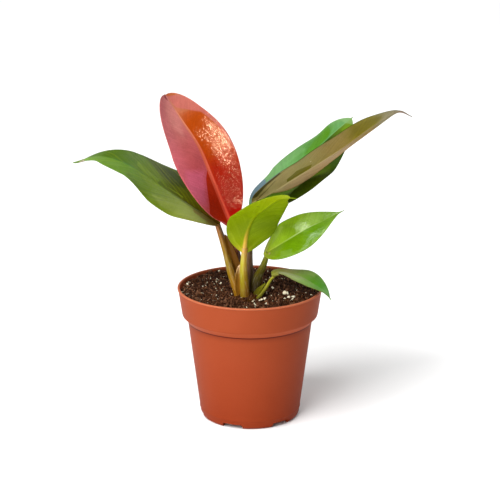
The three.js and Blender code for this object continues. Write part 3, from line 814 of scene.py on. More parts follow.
def fibres(material, count=420):
    random = np.random.default_rng(5)
    lumps, tints = [], []
    for x, y in in_pot(random, count, 3.5):
        length = random.uniform(1.5, 5.5)
        heading = random.uniform(0, 2 * np.pi)
        bend = random.uniform(-0.9, 0.9)
        t = np.linspace(-0.5, 0.5, 6)
        turn = heading + bend * t
        px = x + length * t * np.cos(turn)
        py = y + length * t * np.sin(turn)
        pz = ground_height(px, py) + 0.15 + random.uniform(0, 0.5) - 0.8 * t ** 2
        pz += random.uniform(-0.5, 0.5) * t
        centre = np.stack([px, py, pz], -1)
        thick = random.uniform(0.09, 0.22)
        lumps.append(thread(centre, thick * (1 - 1.2 * np.abs(t)), 5))
        tints.append(random.random())
    return joined("soil_fibres", lumps, tints, material)


def thread(centre, radii, sides):
    """A closed thin tube along a few points, as triangles."""
    tangent = unit(np.gradient(centre, axis=0))
    across = unit(np.cross(tangent, np.array([0.0, 0.0, 1.0])))
    up = np.cross(across, tangent)
    angle = circle(sides)
    rings = centre[:, None] + radii[:, None, None] * (
        np.cos(angle)[None, :, None] * across[:, None] + np.sin(angle)[None, :, None] * up[:, None])
    vertices = np.vstack([rings.reshape(-1, 3), centre[:1], centre[-1:]])
    faces = []
    for a, b, c, d in ring_faces(len(centre), sides):
        faces += [(a, b, c), (a, c, d)]
    first, last = len(vertices) - 2, len(vertices) - 1
    end = (len(centre) - 1) * sides
    faces += [(first, (k + 1) % sides, k) for k in range(sides)]
    faces += [(last, end + k, end + (k + 1) % sides) for k in range(sides)]
    return vertices, np.array(faces)


# Materials

class Paint:
    """One node-based material, with short calls for the nodes that all of them use."""

    def __init__(self, name, roughness, specular):
        self.material = bpy.data.materials.new(name)
        self.material.use_nodes = True
        self.nodes = self.material.node_tree.nodes
        self.links = self.material.node_tree.links
        self.shader = self.nodes["Principled BSDF"]
        self.shader.inputs["Roughness"].default_value = roughness
        self.shader.inputs["Specular IOR Level"].default_value = specular

    def put(self, socket, value):
        if isinstance(value, bpy.types.NodeSocket):
            self.links.new(value, socket)
        else:
            socket.default_value = value

    def math(self, operation, a, b=0.0):
        node = self.nodes.new("ShaderNodeMath")
        node.operation = operation
        self.put(node.inputs[0], a)
        self.put(node.inputs[1], b)
        return node.outputs[0]

    def plus(self, a, b):
        return self.math("ADD", a, b)

    def minus(self, a, b):
        return self.math("SUBTRACT", a, b)

    def times(self, a, b):
        return self.math("MULTIPLY", a, b)

    def mix(self, share, a, b, blend="MIX"):
        node = self.nodes.new("ShaderNodeMix")
        node.data_type = "RGBA"
        node.blend_type = blend
        self.put(node.inputs[0], share)
        self.put(node.inputs[6], a)
        self.put(node.inputs[7], b)
        return node.outputs[2]

    def over(self, color, tint, amount, value, low, high):
        """The colour with a tint over it, up to that amount as value goes from low to high."""
        return self.mix(self.span(value, low, high, 0, amount), color, tint)

    def span(self, value, low, high, to_low=0.0, to_high=1.0):
        node = self.nodes.new("ShaderNodeMapRange")
        node.interpolation_type = "SMOOTHSTEP"
        for label, number in zip(("Value", "From Min", "From Max", "To Min", "To Max"),
                                 (value, low, high, to_low, to_high)):
            self.put(node.inputs[label], number)
        return node.outputs["Result"]

    def number(self, name):
        node = self.nodes.new("ShaderNodeAttribute")
        node.attribute_name = name
        return node.outputs["Fac"]

    def numbers(self, name):
        node = self.nodes.new("ShaderNodeAttribute")
        node.attribute_name = name
        return self.parts(node.outputs["Vector"])

    def parts(self, vector):
        split = self.nodes.new("ShaderNodeSeparateXYZ")
        self.links.new(vector, split.inputs[0])
        return list(split.outputs)

    def millimetres(self, stretch=(1, 1, 1)):
        node = self.nodes.new("ShaderNodeTexCoord")
        mapping = self.nodes.new("ShaderNodeMapping")
        self.links.new(node.outputs["Object"], mapping.inputs["Vector"])
        mapping.inputs["Scale"].default_value = [k / MM for k in stretch]
        return mapping.outputs[0]

    def flat(self, x, y):
        node = self.nodes.new("ShaderNodeCombineXYZ")
        self.put(node.inputs[0], x)
        self.put(node.inputs[1], y)
        return node.outputs[0]

    def noise(self, where, scale, detail, roughness):
        node = self.nodes.new("ShaderNodeTexNoise")
        self.put(node.inputs["Vector"], where)
        node.inputs["Scale"].default_value = scale
        node.inputs["Detail"].default_value = detail
        node.inputs["Roughness"].default_value = roughness
        return node.outputs["Fac"]

    def ramp(self, value, stops, light=FRONT_LIGHT):
        node = self.nodes.new("ShaderNodeValToRGB")
        self.put(node.inputs["Fac"], value)
        elements = node.color_ramp.elements
        while len(elements) < len(stops):
            elements.new(0.5)
        for element, (place, *color) in zip(elements, stops):
            element.position = place
            element.color = srgb(*color, light)
        return node.outputs["Color"]

    def bump(self, height, distance, under=None):
        node = self.nodes.new("ShaderNodeBump")
        node.inputs["Strength"].default_value = 1
        node.inputs["Distance"].default_value = distance * MM
        self.put(node.inputs["Height"], height)
        if under is not None:
            self.put(node.inputs["Normal"], under)
        return node.outputs["Normal"]

    def color(self, value):
        self.put(self.shader.inputs["Base Color"], value)

    def finish(self, normal=None, roughness=None):
        """The material, with a bumped normal and an uneven roughness where they are given."""
        if normal is not None:
            self.put(self.shader.inputs["Normal"], normal)
        if roughness is not None:
            self.put(self.shader.inputs["Roughness"], roughness)
        return self.material


def vein_noise(paint, across, ahead, out, cloud, slant):
    """Broad and fine streaks along the lateral veins, which run forward from the midrib."""
    slanted = paint.minus(ahead, paint.times(out, slant))
    slanted = paint.plus(slanted, paint.times(paint.times(out, out), 0.008))
    phase = paint.plus(slanted, paint.times(paint.minus(cloud, 0.5), 3))
    broad = paint.noise(paint.flat(paint.times(across, 0.05), phase), 0.3, 2, 0.5)
    strand = paint.noise(paint.flat(paint.times(across, 0.09), phase), 0.9, 4, 0.65)
    return broad, strand


def leaf_paint(name, left, right, rib, marks=(), margin=None, outer=(), rib_width=(1.4, 0.4),
               streak=0.12, streak_color=None, fine=0.06, mottle=0.08, rag=0.5, slant=1.1,
               roughness=0.35, sparkle=0.05, bump=0.05, grain=0.62, specular=0.08, gloss=(1, 1, 1),
               light=FRONT_LIGHT):
    """One side of a leaf: its halves, marks, streaks, specks, margin and midrib, one over another."""
    paint = Paint(name, roughness, specular)
    paint.shader.inputs["Specular Tint"].default_value = (*gloss, 1)
    across, ahead, u = paint.numbers("place")
    share = paint.number("share")
    where = paint.flat(across, ahead)
    out = paint.math("ABSOLUTE", across)
    cloud = paint.noise(where, 0.13, 4, 0.6)
    broad, strand = vein_noise(paint, across, ahead, out, cloud, slant)

    color = paint.over(paint.ramp(u, left, light), paint.ramp(u, right, light), 1, share, -0.03, 0.03)
    for half, start, tint, amount in outer:
        color = paint.over(color, srgb(*tint, light), amount, paint.times(share, half), start, 1)
    ragged = paint.plus(paint.noise(where, 0.5, 4, 0.65), paint.times(strand, 0.6))
    uneven = paint.times(paint.minus(ragged, 0.8), rag)
    for mark in marks:
        mask = paint.plus(paint.number(mark.name), uneven)
        color = paint.over(color, srgb(*mark.color, light), mark.amount, mask, 0.15, 0.85)

    dark = paint.mix(0.5, color, BLACK)
    if streak_color is None:
        pale = paint.mix(1, color, BRIGHTER, "MULTIPLY")
    else:
        pale = paint.mix(0.3, color, srgb(*streak_color, light))
    color = paint.over(color, dark, 2 * mottle, cloud, 0.35, 0.75)
    color = paint.over(color, pale, 2 * streak, broad, 0.48, 0.7)
    color = paint.over(color, dark, 1.4 * streak, broad, 0.45, 0.28)
    color = paint.over(color, pale, 2 * fine, strand, 0.5, 0.75)
    color = paint.over(color, dark, 1.5 * fine, strand, 0.45, 0.25)
    speck = paint.noise(where, 1.3, 3, 0.7)
    color = paint.mix(paint.span(speck, 0.5, 0.75, 0, 0.4), color, BRIGHTER, "MULTIPLY")
    color = paint.over(color, dark, 0.3, speck, 0.5, 0.25)
    if margin is not None:
        tint, wide, amount = margin
        color = paint.over(color, srgb(*tint, light), amount, paint.number("from_edge"), wide, 0.4 * wide)
    base_width, tip_width = rib_width
    wide = paint.plus(paint.times(u, tip_width - base_width), base_width)
    from_rib = paint.math("DIVIDE", out, wide)
    paint.color(paint.over(color, paint.ramp(u, rib, light), 1, from_rib, 1.15, 0.6))

    veins = paint.bump(paint.plus(broad, strand), 0.12)
    normal = paint.bump(paint.noise(where, grain, 1.5, 0.5), bump, under=veins)
    wet = paint.noise(where, 0.4, 3, 0.6)
    return paint.finish(normal, paint.span(wet, 0.4, 0.6, roughness - sparkle, roughness + sparkle))


def stalk_paint(name, left, right):
    """A petiole, with fine strands and dark spots. Its two sides are those seen from the front."""
    paint = Paint(name, 0.4, 0.12)
    turn, ahead, u = paint.numbers("place")
    color = paint.over(paint.ramp(u, left), paint.ramp(u, right), 1, paint.number("side"), -0.35, 0.35)
    strand = paint.noise(paint.flat(paint.times(turn, 3), paint.times(ahead, 0.12)), 1.4, 4, 0.6)
    color = paint.over(color, paint.mix(0.6, color, BLACK), 0.25, strand, 0.45, 0.75)
    color = paint.over(color, paint.mix(0.35, color, WHITE), 0.25, strand, 0.5, 0.25)
    spots = paint.noise(paint.flat(turn, ahead), 1.1, 3, 0.6)
    paint.color(paint.over(color, paint.mix(0.6, color, SPOT), 0.3, spots, 0.6, 0.8))
    return paint.finish(paint.bump(spots, 0.03, under=paint.bump(strand, 0.08)))


def mottled(name, stops, scale, roughness, bump, stretch=(1, 1, 1)):
    paint = Paint(name, roughness, 0.15)
    cloud = paint.noise(paint.millimetres(stretch), scale, 5, 0.62)
    paint.color(paint.ramp(cloud, stops))
    return paint.finish(paint.bump(cloud, bump))


def granular(name, stops, roughness=0.8, scale=1.2, bump=0.15, light=FRONT_LIGHT):
    """Soil and its parts: each lump has a tone of its own, with a finer noise over it."""
    paint = Paint(name, roughness, 0.1)
    grain = paint.noise(paint.millimetres(), scale, 5, 0.65)
    tone = paint.plus(paint.times(paint.number("tone"), 0.6), paint.times(grain, 0.4))
    paint.color(paint.ramp(tone, stops, light))
    return paint.finish(paint.bump(grain, bump))


def pot_paint():
    """Grained plastic, darker towards the bottom as painted shade, with painted shade under the rim band,
    painted light on the band's foot and a painted highlight on the lip.
    """
    paint = Paint("terracotta_plastic", 0.6, 0.08)
    where = paint.millimetres()
    _, _, height = paint.parts(where)
    cloud = paint.noise(where, 0.05, 3, 0.5)
    grain = paint.noise(where, 2.2, 4, 0.7)
    # The body darkens towards the bottom: painted shade.
    color = paint.ramp(paint.plus(paint.times(height, 0.8 / POT["height"]), paint.times(cloud, 0.2)),
                       PLASTIC["body"])
    color = paint.over(color, srgb(*PLASTIC["pit"]), 0.45, grain, 0.55, 0.8)
    color = paint.over(color, srgb(*PLASTIC["grain"]), 0.3, grain, 0.45, 0.2)
    seam, band, top = POT["wall_top"][1], POT["band_foot"][1], POT["height"]
    # Painted light on the band's foot, which faces down.
    lit_ledge = paint.times(paint.span(height, seam, seam + 1), paint.span(height, band + 0.6, band - 0.6))
    color = paint.mix(paint.times(lit_ledge, 0.6), color, srgb(*PLASTIC["lit_ledge"]))
    shadow = paint.times(paint.span(height, seam - 5, seam, 0, 0.25), paint.span(height, seam + 1, seam))
    color = paint.mix(shadow, color, srgb(*PLASTIC["shadow"]))
    # A dark painted shade line in the crease under the band.
    crease_shade = paint.times(paint.span(height, seam - 0.7, seam - 0.2),
                       paint.span(height, seam + 0.8, seam + 0.3))
    color = paint.mix(paint.times(crease_shade, 0.85), color, srgb(*PLASTIC["seam"]))
    # A painted highlight along the lip.
    paint.color(paint.over(color, srgb(*PLASTIC["lip"]), 0.6, height, top - 1.6, top - 0.6))
    return paint.finish(paint.bump(grain, 0.035), paint.span(grain, 0.3, 0.7, 0.5, 0.6))


# The marks on the side of each leaf that faces the front, in the order in which they are painted.
# A mark's path is in shares of the midrib's length and of the half width. It is a closed patch, or a
# stroke where width, in millimetres, isn't 0. The mark stays on the half with its sign, -1 or 1, or
# crosses the midrib where half is 0. Its edge is soft over so many millimetres.
Mark = namedtuple("Mark", "name half width soft color amount path")

LEAF_MARKS = {
    "red": [
        # A painted pink sheen over the left half, which is partly pink itself.
        Mark("blush", -1, 0, 6, (236, 120, 150), 0.55, [
            (0.44, -0.75), (0.39, -0.2), (0.29, -0.4), (0.19, -0.74), (0.22, -1), (0.35, -1),
        ]),
        # A painted pale sheen on the left half near the tip.
        Mark("pale_tip", -1, 0, 4, (238, 158, 150), 0.5, [
            (0.95, 0), (0.76, -0.04), (0.66, -0.32), (0.74, -0.52), (0.86, -0.66),
        ]),
        Mark("shade", -1, 0, 0.5, (190, 62, 48), 1, [
            (0.41, 0), (0.34, -0.21), (0.25, -0.41), (0.19, -0.61), (0.14, -0.94), (0.07, -1.1), (0, -0.5),
            (0, 0),
        ]),
        Mark("copper", 1, 0, 5, (190, 84, 45), 0.6, [
            (0.8, 0.11), (0.76, 0.8), (0.65, 0.85), (0.5, 0.8), (0.45, 0.14), (0.56, 0), (0.67, 0),
        ]),
        Mark("ember", 1, 0, 3, (176, 50, 45), 0.5, [
            (0.41, 0.12), (0.35, 0.9), (0.23, 1), (0.09, 1), (0.07, 0.33), (0.2, 0.21),
        ]),
        Mark("pink_edge", 1, 0, 1.2, (214, 124, 116), 0.8, [
            (1, 1), (0.83, 1.1), (0.69, 1.1), (0.42, 1.1), (0.47, 0.97), (0.61, 0.9), (0.72, 0.84),
            (0.81, 0.39), (0.86, 0.14), (1, 0),
        ]),
        Mark("tip_fold", 0, 0, 0.6, (150, 62, 76), 0.7, [
            (0.99, -1.5), (1.02, -0.3), (0.985, 0), (0.93, -0.15), (0.965, -0.55),
        ]),
        Mark("tip_lobe", 1, 0, 0.7, (206, 116, 66), 0.8, [
            (0.99, 0.1), (0.96, 0.4), (0.92, 0.85), (0.93, 1.3), (1.02, 1),
        ]),
    ],
    "left": [
        # Painted shade over the far half, where the red leaf shadows it and it turns away.
        Mark("far_dark", 1, 0, 3.5, (62, 70, 45), 0.7, [
            (0.62, 1.1), (0.57, 0.8), (0.5, 0.58), (0.44, 0.42), (0.37, 0.3), (0.28, 0.45), (0.22, 1.1),
        ]),
        Mark("top_green", 1, 0, 3, (94, 122, 45), 0.4, [
            (0.81, 1.1), (0.71, 1.1), (0.63, 1), (0.62, 0.44), (0.69, 0.2), (0.82, 0),
        ]),
        Mark("lit_streak", 1, 0, 1.2, (132, 162, 52), 0.6, [
            (0.62, 0.46), (0.53, 0.29), (0.45, 0.24), (0.45, 0.1), (0.54, 0.09), (0.61, 0.21),
        ]),
        Mark("second_streak", 1, 0, 1.2, (124, 148, 48), 0.4, [
            (0.58, 0.69), (0.49, 0.51), (0.38, 0.11), (0.4, 0.11), (0.5, 0.33),
        ]),
        Mark("bright_core", 0, 0, 2, (138, 166, 50), 0.6, [
            (0.59, -0.07), (0.5, 0.07), (0.41, 0.05), (0.43, -0.24), (0.51, -0.36),
        ]),
        Mark("near_pale", -1, 0, 3, (164, 180, 92), 0.5, [
            (0.45, -0.66), (0.34, -0.5), (0.21, -0.25), (0.07, -0.26), (0.09, -1), (0.21, -0.84),
            (0.37, -0.88),
        ]),
        Mark("near_wave", -1, 0, 2.5, (104, 132, 45), 0.5, [
            (0.63, -0.57), (0.55, -0.84), (0.47, -0.9), (0.51, -1.1), (0.59, -1), (0.64, -0.84),
        ]),
        Mark("teal_tip", 0, 0, 3, (126, 168, 76), 0.5, [
            (0.95, -0.3), (0.81, -0.4), (0.68, -0.25), (0.7, -0.59), (0.84, -1.1),
        ]),
        Mark("brown_base", 0, 0, 1.5, (134, 98, 54), 0.6, [
            (0.19, -0.1), (0.12, 0.1), (0, 0.6), (0, -1), (0.04, -0.9), (0.1, -0.5), (0.17, -0.3),
        ]),
        Mark("crease", 0, 0.8, 0.6, (80, 128, 45), 0.6, [(0.58, -0.01), (0.5, 0), (0.42, 0.04)]),
        Mark("low_crease", 0, 2.2, 1.6, (90, 100, 45), 0.7, [(0.34, -0.02), (0.26, -0.06), (0.14, -0.08)]),
        Mark("bright_line", 0, 0.7, 0.5, (150, 172, 60), 0.6, [(0.38, 0.14), (0.28, 0.1)]),
        Mark("tail", 0, 0, 0.6, (205, 190, 165), 0.9, [(0.93, -4), (1.1, -4), (1.1, 4), (0.93, 4)]),
    ],
    "green": [
        # A painted blue-grey reflection over the left half's base.
        Mark("blue_base", -1, 0, 1.2, (134, 162, 172), 1, [
            (0.03, -0.3), (0.1, -0.42), (0.2, -0.52), (0.235, -0.8), (0.22, -1.15), (0.15, -1.25),
            (0.09, -1.3), (0.06, -1.1),
        ]),
        # A painted mint sheen on the left half.
        Mark("mint_low", -1, 0, 3, (146, 202, 128), 0.4, [
            (0.24, -1.1), (0.47, -0.95), (0.61, -0.72), (0.6, -0.4), (0.44, -0.4), (0.27, -0.57),
        ]),
        Mark("dark_streak", -1, 0, 1.6, (100, 156, 50), 0.7, [
            (0.72, -0.68), (0.85, -0.99), (0.8, -0.17), (0.71, 0), (0.59, -0.06), (0.56, -0.22),
            (0.63, -0.38),
        ]),
        # A painted mint sheen on the left half.
        Mark("mint_high", -1, 0, 2, (118, 178, 110), 0.5, [
            (0.74, 0), (0.82, -0.3), (0.91, -0.5), (0.93, 0), (0.84, 0),
        ]),
        Mark("dark_low", 1, 0, 3, (92, 112, 46), 0.5, [
            (0.25, 0.49), (0.39, 0.78), (0.6, 0.81), (0.47, 1), (0.32, 0.89), (0.23, 0.68),
        ]),
        Mark("teal_edge", 1, 0, 1.6, (62, 84, 46), 0.4, [
            (0.66, 0.7), (0.76, 0.8), (0.76, 1.1), (0.54, 1.1), (0.56, 0.9),
        ]),
        Mark("olive_rim", 1, 3, 1.5, (100, 112, 50), 0.4, [(0.12, 1), (0.3, 1), (0.45, 1)]),
        Mark("yellow_turn", 1, 0, 1, (124, 158, 50), 0.7, [
            (0.86, 0.2), (0.94, 0.4), (0.96, 1.1), (0.85, 1.1), (0.84, 0.5),
        ]),
        # A painted pale sheen over the tip.
        Mark("pale_tip", 0, 0, 1.5, (156, 198, 132), 0.5, [
            (0.93, -1), (1, -1), (1, 1), (0.94, 0.86), (0.92, 0),
        ]),
    ],
    "bronze": [
        Mark("rosy_band", -1, 0, 2, (170, 140, 102), 0.4, [
            (0.2, -0.3), (0.34, -0.4), (0.6, -0.4), (0.6, -0.88), (0.42, -0.95), (0.2, -0.9),
        ]),
        Mark("olive_far", 1, 0, 1.5, (104, 94, 34), 0.45, [
            (0.6, 0.3), (0.65, 0.66), (0.74, 0.75), (0.82, 0.62), (0.81, 0.24), (0.73, 0.09), (0.66, 0.04),
        ]),
        Mark("olive_low", -1, 0, 2, (126, 104, 40), 0.5, [
            (0.62, -0.1), (0.72, -0.05), (0.78, -0.4), (0.72, -0.7), (0.64, -0.5),
        ]),
        Mark("olive_streak", 1, 0, 0.7, (102, 96, 30), 0.95, [
            (0.2, 0.2), (0.27, 0.33), (0.37, 0.15), (0.35, 0.02), (0.28, 0.05), (0.2, 0.06),
        ]),
        # A painted grey sheen near the tip.
        Mark("grey_tip", 0, 0, 2, (132, 126, 98), 0.6, [
            (0.8, 0.1), (0.84, 0.6), (0.93, 0.6), (0.93, -0.6), (0.87, -1.1), (0.78, -1),
        ]),
        Mark("mauve_tip", 0, 5, 2, (118, 76, 78), 0.85, [(0.93, 0), (1, 0)]),
        Mark("dark_edge", 1, 2.4, 1.2, (100, 92, 48), 0.45, [
            (0.06, 1), (0.15, 0.9), (0.23, 0.95), (0.4, 1), (0.62, 1),
        ]),
        Mark("warm_rim", -1, 1.8, 0.9, (150, 108, 60), 0.6, [
            (0.15, -1), (0.31, -1), (0.42, -1), (0.59, -1), (0.75, -1),
        ]),
        Mark("pale_spot", 0, 0.7, 0.4, (200, 190, 150), 0.9, [(0.37, 0.33), (0.372, 0.36)]),
        Mark("base_line", 0, 0.7, 0.5, (100, 82, 45), 0.8, [(0.01, 0.1), (0.08, 0.35), (0.13, 0.61)]),
        # Painted shade on the far edge at the base.
        Mark("base_dark", 1, 3, 0.8, (76, 68, 34), 0.85, [(0.02, 0.7), (0.08, 0.85), (0.15, 0.95)]),
    ],
    "lime": [
        Mark("left_lit", 1, 0, 4, (136, 156, 31), 0.3, [
            (0.34, 1.1), (0.49, 0.73), (0.28, 0.11), (0.06, 0.25), (0.13, 0.8),
        ]),
        Mark("right_shade", -1, 0, 3, (112, 132, 31), 0.3, [
            (0.22, -0.2), (0.42, -0.3), (0.77, -0.4), (0.42, -0.95), (0.16, -0.96), (0.05, -0.93),
        ]),
        Mark("crease", 0, 0.7, 0.6, (100, 118, 31), 0.6, [
            (0.19, -0.14), (0.27, -0.09), (0.39, -0.06), (0.47, -0.07), (0.62, -0.12), (0.8, -0.12),
        ]),
        Mark("blemish", 0, 0.6, 0.4, (66, 84, 31), 0.85, [(0.59, 0.55), (0.59, 0.36)]),
        # A painted highlight along the upper margin, where light falls on its edge.
        Mark("bright_rim", 1, 1.4, 0.7, (168, 184, 48), 0.6, [(0.5, 1), (0.65, 1), (0.82, 1), (0.99, 1)]),
        Mark("brown_tip", -1, 1.6, 0.8, (122, 112, 36), 0.7, [(0.83, -1), (0.97, -1)]),
        Mark("light_tip", 0, 0, 0.8, (190, 200, 90), 0.7, [(0.9, 1.1), (1, 1), (1, -1), (0.95, -0.4)]),
    ],
    "right": [
        Mark("sheen", -1, 0, 2.2, (160, 200, 90), 0.35, [
            (0.42, -0.45), (0.53, -0.69), (0.72, -0.79), (0.85, -0.51), (0.67, -0.09), (0.49, -0.02),
        ]),
        Mark("glints", -1, 0, 1.5, (205, 236, 140), 0.45, [
            (0.44, -0.34), (0.54, -0.44), (0.6, -0.1), (0.52, 0), (0.42, -0.07),
        ]),
        Mark("base_streak", -1, 0, 1, (196, 232, 96), 0.5, [
            (0.1, -0.44), (0.16, -0.81), (0.31, -0.84), (0.33, -0.7), (0.18, -0.46),
        ]),
        Mark("lower_rim", 1, 3, 1.4, (144, 184, 74), 0.7, [(0.15, 1), (0.39, 1), (0.62, 1), (0.83, 1)]),
        Mark("lower_glints", 1, 0, 1.5, (170, 206, 110), 0.3, [
            (0.2, 0.49), (0.31, 0.6), (0.28, 0.96), (0.19, 0.88),
        ]),
        Mark("auricle", 0, 3, 1.5, (214, 226, 110), 0.7, [(0.08, -1), (0.03, -0.86), (0, 0)]),
        Mark("pink_spot", 0, 1.4, 0.6, (215, 185, 130), 0.9, [(0.06, 0.36), (0.065, 0.42)]),
    ],
    "low": [
        # Pale at the base, partly painted light where the leaves above shade it.
        Mark("basal", 0, 0, 1.5, (200, 200, 80), 0.5, [
            (0.02, -1.1), (0.1, -1), (0.14, -0.2), (0.08, 0.6), (0, 1),
        ]),
        Mark("far_light", -1, 0, 2, (188, 224, 112), 0.4, [
            (0.4, -0.5), (0.55, -0.6), (0.5, -0.9), (0.35, -0.9),
        ]),
    ],
}

# The leaves that turn their lower sides to the front
UNDERSIDE_SHOWS = ("bronze", "lime")

# The side that faces the front. A colour stop is a place from the base, 0, to the tip, 1, and a colour.
# An upper side's left half is on the left as one looks along the midrib with the upper side up; the
# lower side shares the halves. An outer band has a half's sign, its start, a colour and an amount.
FRONT_LOOKS = {
    "red": {
        # The left half's stops turn pink towards the tip, and so does its outer band: partly the leaf's own
        # colour, partly a painted sheen.
        "left": [
            (0, 200, 68, 52), (0.16, 205, 68, 52), (0.3, 216, 96, 108), (0.45, 201, 96, 100),
            (0.6, 206, 108, 108), (0.75, 220, 134, 128), (1, 232, 156, 155),
        ],
        "right": [
            (0, 178, 48, 45), (0.25, 184, 50, 45), (0.42, 186, 64, 45), (0.6, 192, 82, 45),
            (0.72, 194, 92, 50), (0.8, 202, 122, 88), (1, 212, 144, 128),
        ],
        "rib": [
            (0, 228, 92, 76), (0.2, 226, 88, 70), (0.38, 228, 106, 84), (0.55, 216, 112, 86),
            (0.78, 228, 146, 119), (1, 214, 148, 136),
        ],
        "rib_width": (2.2, 0.5), "outer": [(-1, 0.35, (240, 130, 146), 0.4)],
        "margin": ((236, 128, 112), 0.6, 0.5), "streak": 0.06, "fine": 0.2, "mottle": 0.13,
        "roughness": 0.11, "sparkle": 0.05, "specular": 0.17, "bump": 0.16, "grain": 0.4, "rag": 0.6,
        "gloss": (1, 0.62, 0.38),
    },
    "left": {
        "left": [
            (0, 160, 125, 58), (0.08, 146, 144, 56), (0.25, 156, 173, 74), (0.38, 130, 153, 52),
            (0.5, 122, 154, 45), (0.65, 111, 156, 45), (0.78, 121, 163, 60), (1, 148, 180, 112),
        ],
        # The far half's dark stops are partly painted shade.
        "right": [
            (0, 112, 76, 45), (0.16, 95, 90, 45), (0.32, 90, 96, 45), (0.45, 98, 116, 45),
            (0.55, 112, 140, 45), (0.66, 90, 128, 45), (0.8, 96, 132, 46), (1, 140, 172, 104),
        ],
        "rib": [
            (0, 105, 82, 45), (0.25, 84, 84, 45), (0.36, 116, 142, 45), (0.45, 138, 164, 48),
            (0.56, 102, 140, 45), (0.65, 76, 133, 45), (1, 125, 160, 70),
        ],
        "rib_width": (0.8, 0.3), "streak": 0.17, "fine": 0.17, "mottle": 0.09, "roughness": 0.42,
        "slant": 1.8, "streak_color": (225, 235, 45),
    },
    "green": {
        # The pale mint of the left half's stops and of its outer band is partly a painted sheen.
        "left": [
            (0, 150, 196, 160), (0.24, 144, 198, 128), (0.42, 128, 186, 112), (0.55, 110, 168, 88),
            (0.66, 102, 160, 78), (0.78, 100, 156, 56), (0.88, 120, 172, 104), (1, 150, 192, 125),
        ],
        "right": [
            (0, 92, 118, 45), (0.25, 84, 110, 45), (0.45, 90, 108, 45), (0.53, 84, 100, 45),
            (0.62, 74, 92, 45), (0.74, 72, 92, 45), (0.86, 106, 138, 52), (1, 140, 178, 76),
        ],
        "rib": [(0, 150, 195, 130), (0.6, 106, 164, 80), (0.75, 119, 178, 109), (1, 154, 194, 130)],
        "rib_width": (0.9, 0.3), "outer": [(-1, 0.6, (148, 202, 128), 0.4)], "streak": 0.14, "fine": 0.14,
        "mottle": 0.06, "roughness": 0.42, "bump": 0.12, "rag": 0.3,
    },
    "bronze": {
        "left": [
            (0, 150, 130, 80), (0.16, 195, 174, 122), (0.3, 178, 152, 110), (0.45, 153, 126, 82),
            (0.54, 134, 104, 46), (0.68, 130, 105, 40), (0.78, 124, 110, 64), (0.86, 126, 119, 86),
            (1, 120, 88, 80),
        ],
        "right": [
            (0, 135, 118, 68), (0.09, 190, 170, 116), (0.16, 160, 142, 90), (0.3, 140, 130, 76),
            (0.48, 132, 114, 62), (0.57, 134, 115, 60), (0.66, 116, 105, 36), (0.77, 120, 112, 54),
            (0.86, 133, 126, 100), (1, 124, 90, 84),
        ],
        "rib": [
            (0, 192, 172, 108), (0.2, 194, 174, 124), (0.35, 166, 146, 100), (0.46, 162, 143, 101),
            (0.6, 140, 120, 74), (0.75, 127, 113, 69), (0.86, 139, 130, 105), (1, 124, 88, 82),
        ],
        "rib_width": (0.9, 0.4), "streak": 0.14, "fine": 0.14, "mottle": 0.1, "roughness": 0.5,
        "light": 0.95, "slant": 1.8,
    },
    "lime": {
        "left": [
            (0, 126, 122, 36), (0.08, 106, 120, 31), (0.2, 118, 138, 31), (0.42, 120, 144, 31),
            (0.65, 128, 150, 31), (0.85, 133, 151, 31), (1, 140, 148, 50),
        ],
        "right": [
            (0, 162, 144, 45), (0.08, 124, 137, 31), (0.22, 120, 138, 31), (0.35, 131, 152, 31),
            (0.58, 143, 164, 31), (0.75, 154, 169, 31), (1, 166, 178, 60),
        ],
        "rib": [
            (0, 192, 148, 84), (0.1, 184, 150, 62), (0.18, 168, 146, 52), (0.26, 136, 143, 33),
            (0.36, 134, 148, 31), (0.5, 120, 137, 31), (0.7, 134, 154, 31), (1, 132, 146, 34),
        ],
        "rib_width": (1.7, 0.3), "outer": [(-1, 0.5, (102, 124, 31), 0.6)], "streak": 0.1, "fine": 0.16,
        "mottle": 0.1, "roughness": 0.42, "streak_color": (230, 240, 90), "light": 1,
    },
    "right": {
        "left": [
            (0, 186, 200, 50), (0.1, 186, 226, 62), (0.26, 178, 220, 64), (0.36, 158, 200, 58),
            (0.5, 146, 186, 54), (0.65, 150, 186, 78), (0.76, 124, 165, 50), (1, 122, 164, 56),
        ],
        "right": [
            (0, 184, 196, 50), (0.1, 150, 184, 46), (0.28, 133, 180, 48), (0.42, 132, 178, 50),
            (0.6, 113, 162, 47), (0.85, 124, 168, 66), (1, 122, 160, 56),
        ],
        "rib": [
            (0, 212, 228, 62), (0.15, 196, 230, 80), (0.25, 182, 220, 84), (0.45, 202, 234, 135),
            (0.62, 168, 200, 108), (0.76, 132, 173, 62), (1, 126, 166, 56),
        ],
        "rib_width": (0.9, 0.4), "streak": 0.12, "fine": 0.2, "mottle": 0.12, "roughness": 0.2,
        "sparkle": 0.06, "specular": 0.28, "bump": 0.28, "grain": 0.4,
    },
    "low": {
        # The pale stops near the base are partly painted light where the leaves above shade it.
        "left": [
            (0, 192, 192, 80), (0.16, 212, 205, 112), (0.35, 180, 212, 96), (0.46, 150, 198, 74),
            (0.56, 112, 172, 47), (0.76, 90, 157, 54), (1, 150, 194, 130),
        ],
        "right": [
            (0, 190, 185, 72), (0.16, 232, 238, 160), (0.35, 210, 230, 140), (0.46, 188, 216, 128),
            (0.56, 154, 196, 92), (0.76, 112, 172, 70), (1, 150, 196, 124),
        ],
        "rib": [
            (0, 210, 215, 100), (0.16, 232, 244, 155), (0.36, 205, 227, 134), (0.5, 160, 196, 100),
            (0.66, 124, 176, 78), (1, 140, 188, 104),
        ],
        "rib_width": (0.7, 0.3),
        "outer": [(1, 0.7, (140, 140, 78), 0.6), (-1, 0.75, (196, 228, 130), 0.3)], "streak": 0.08,
        "fine": 0.08, "mottle": 0.06, "roughness": 0.45,
    },
}

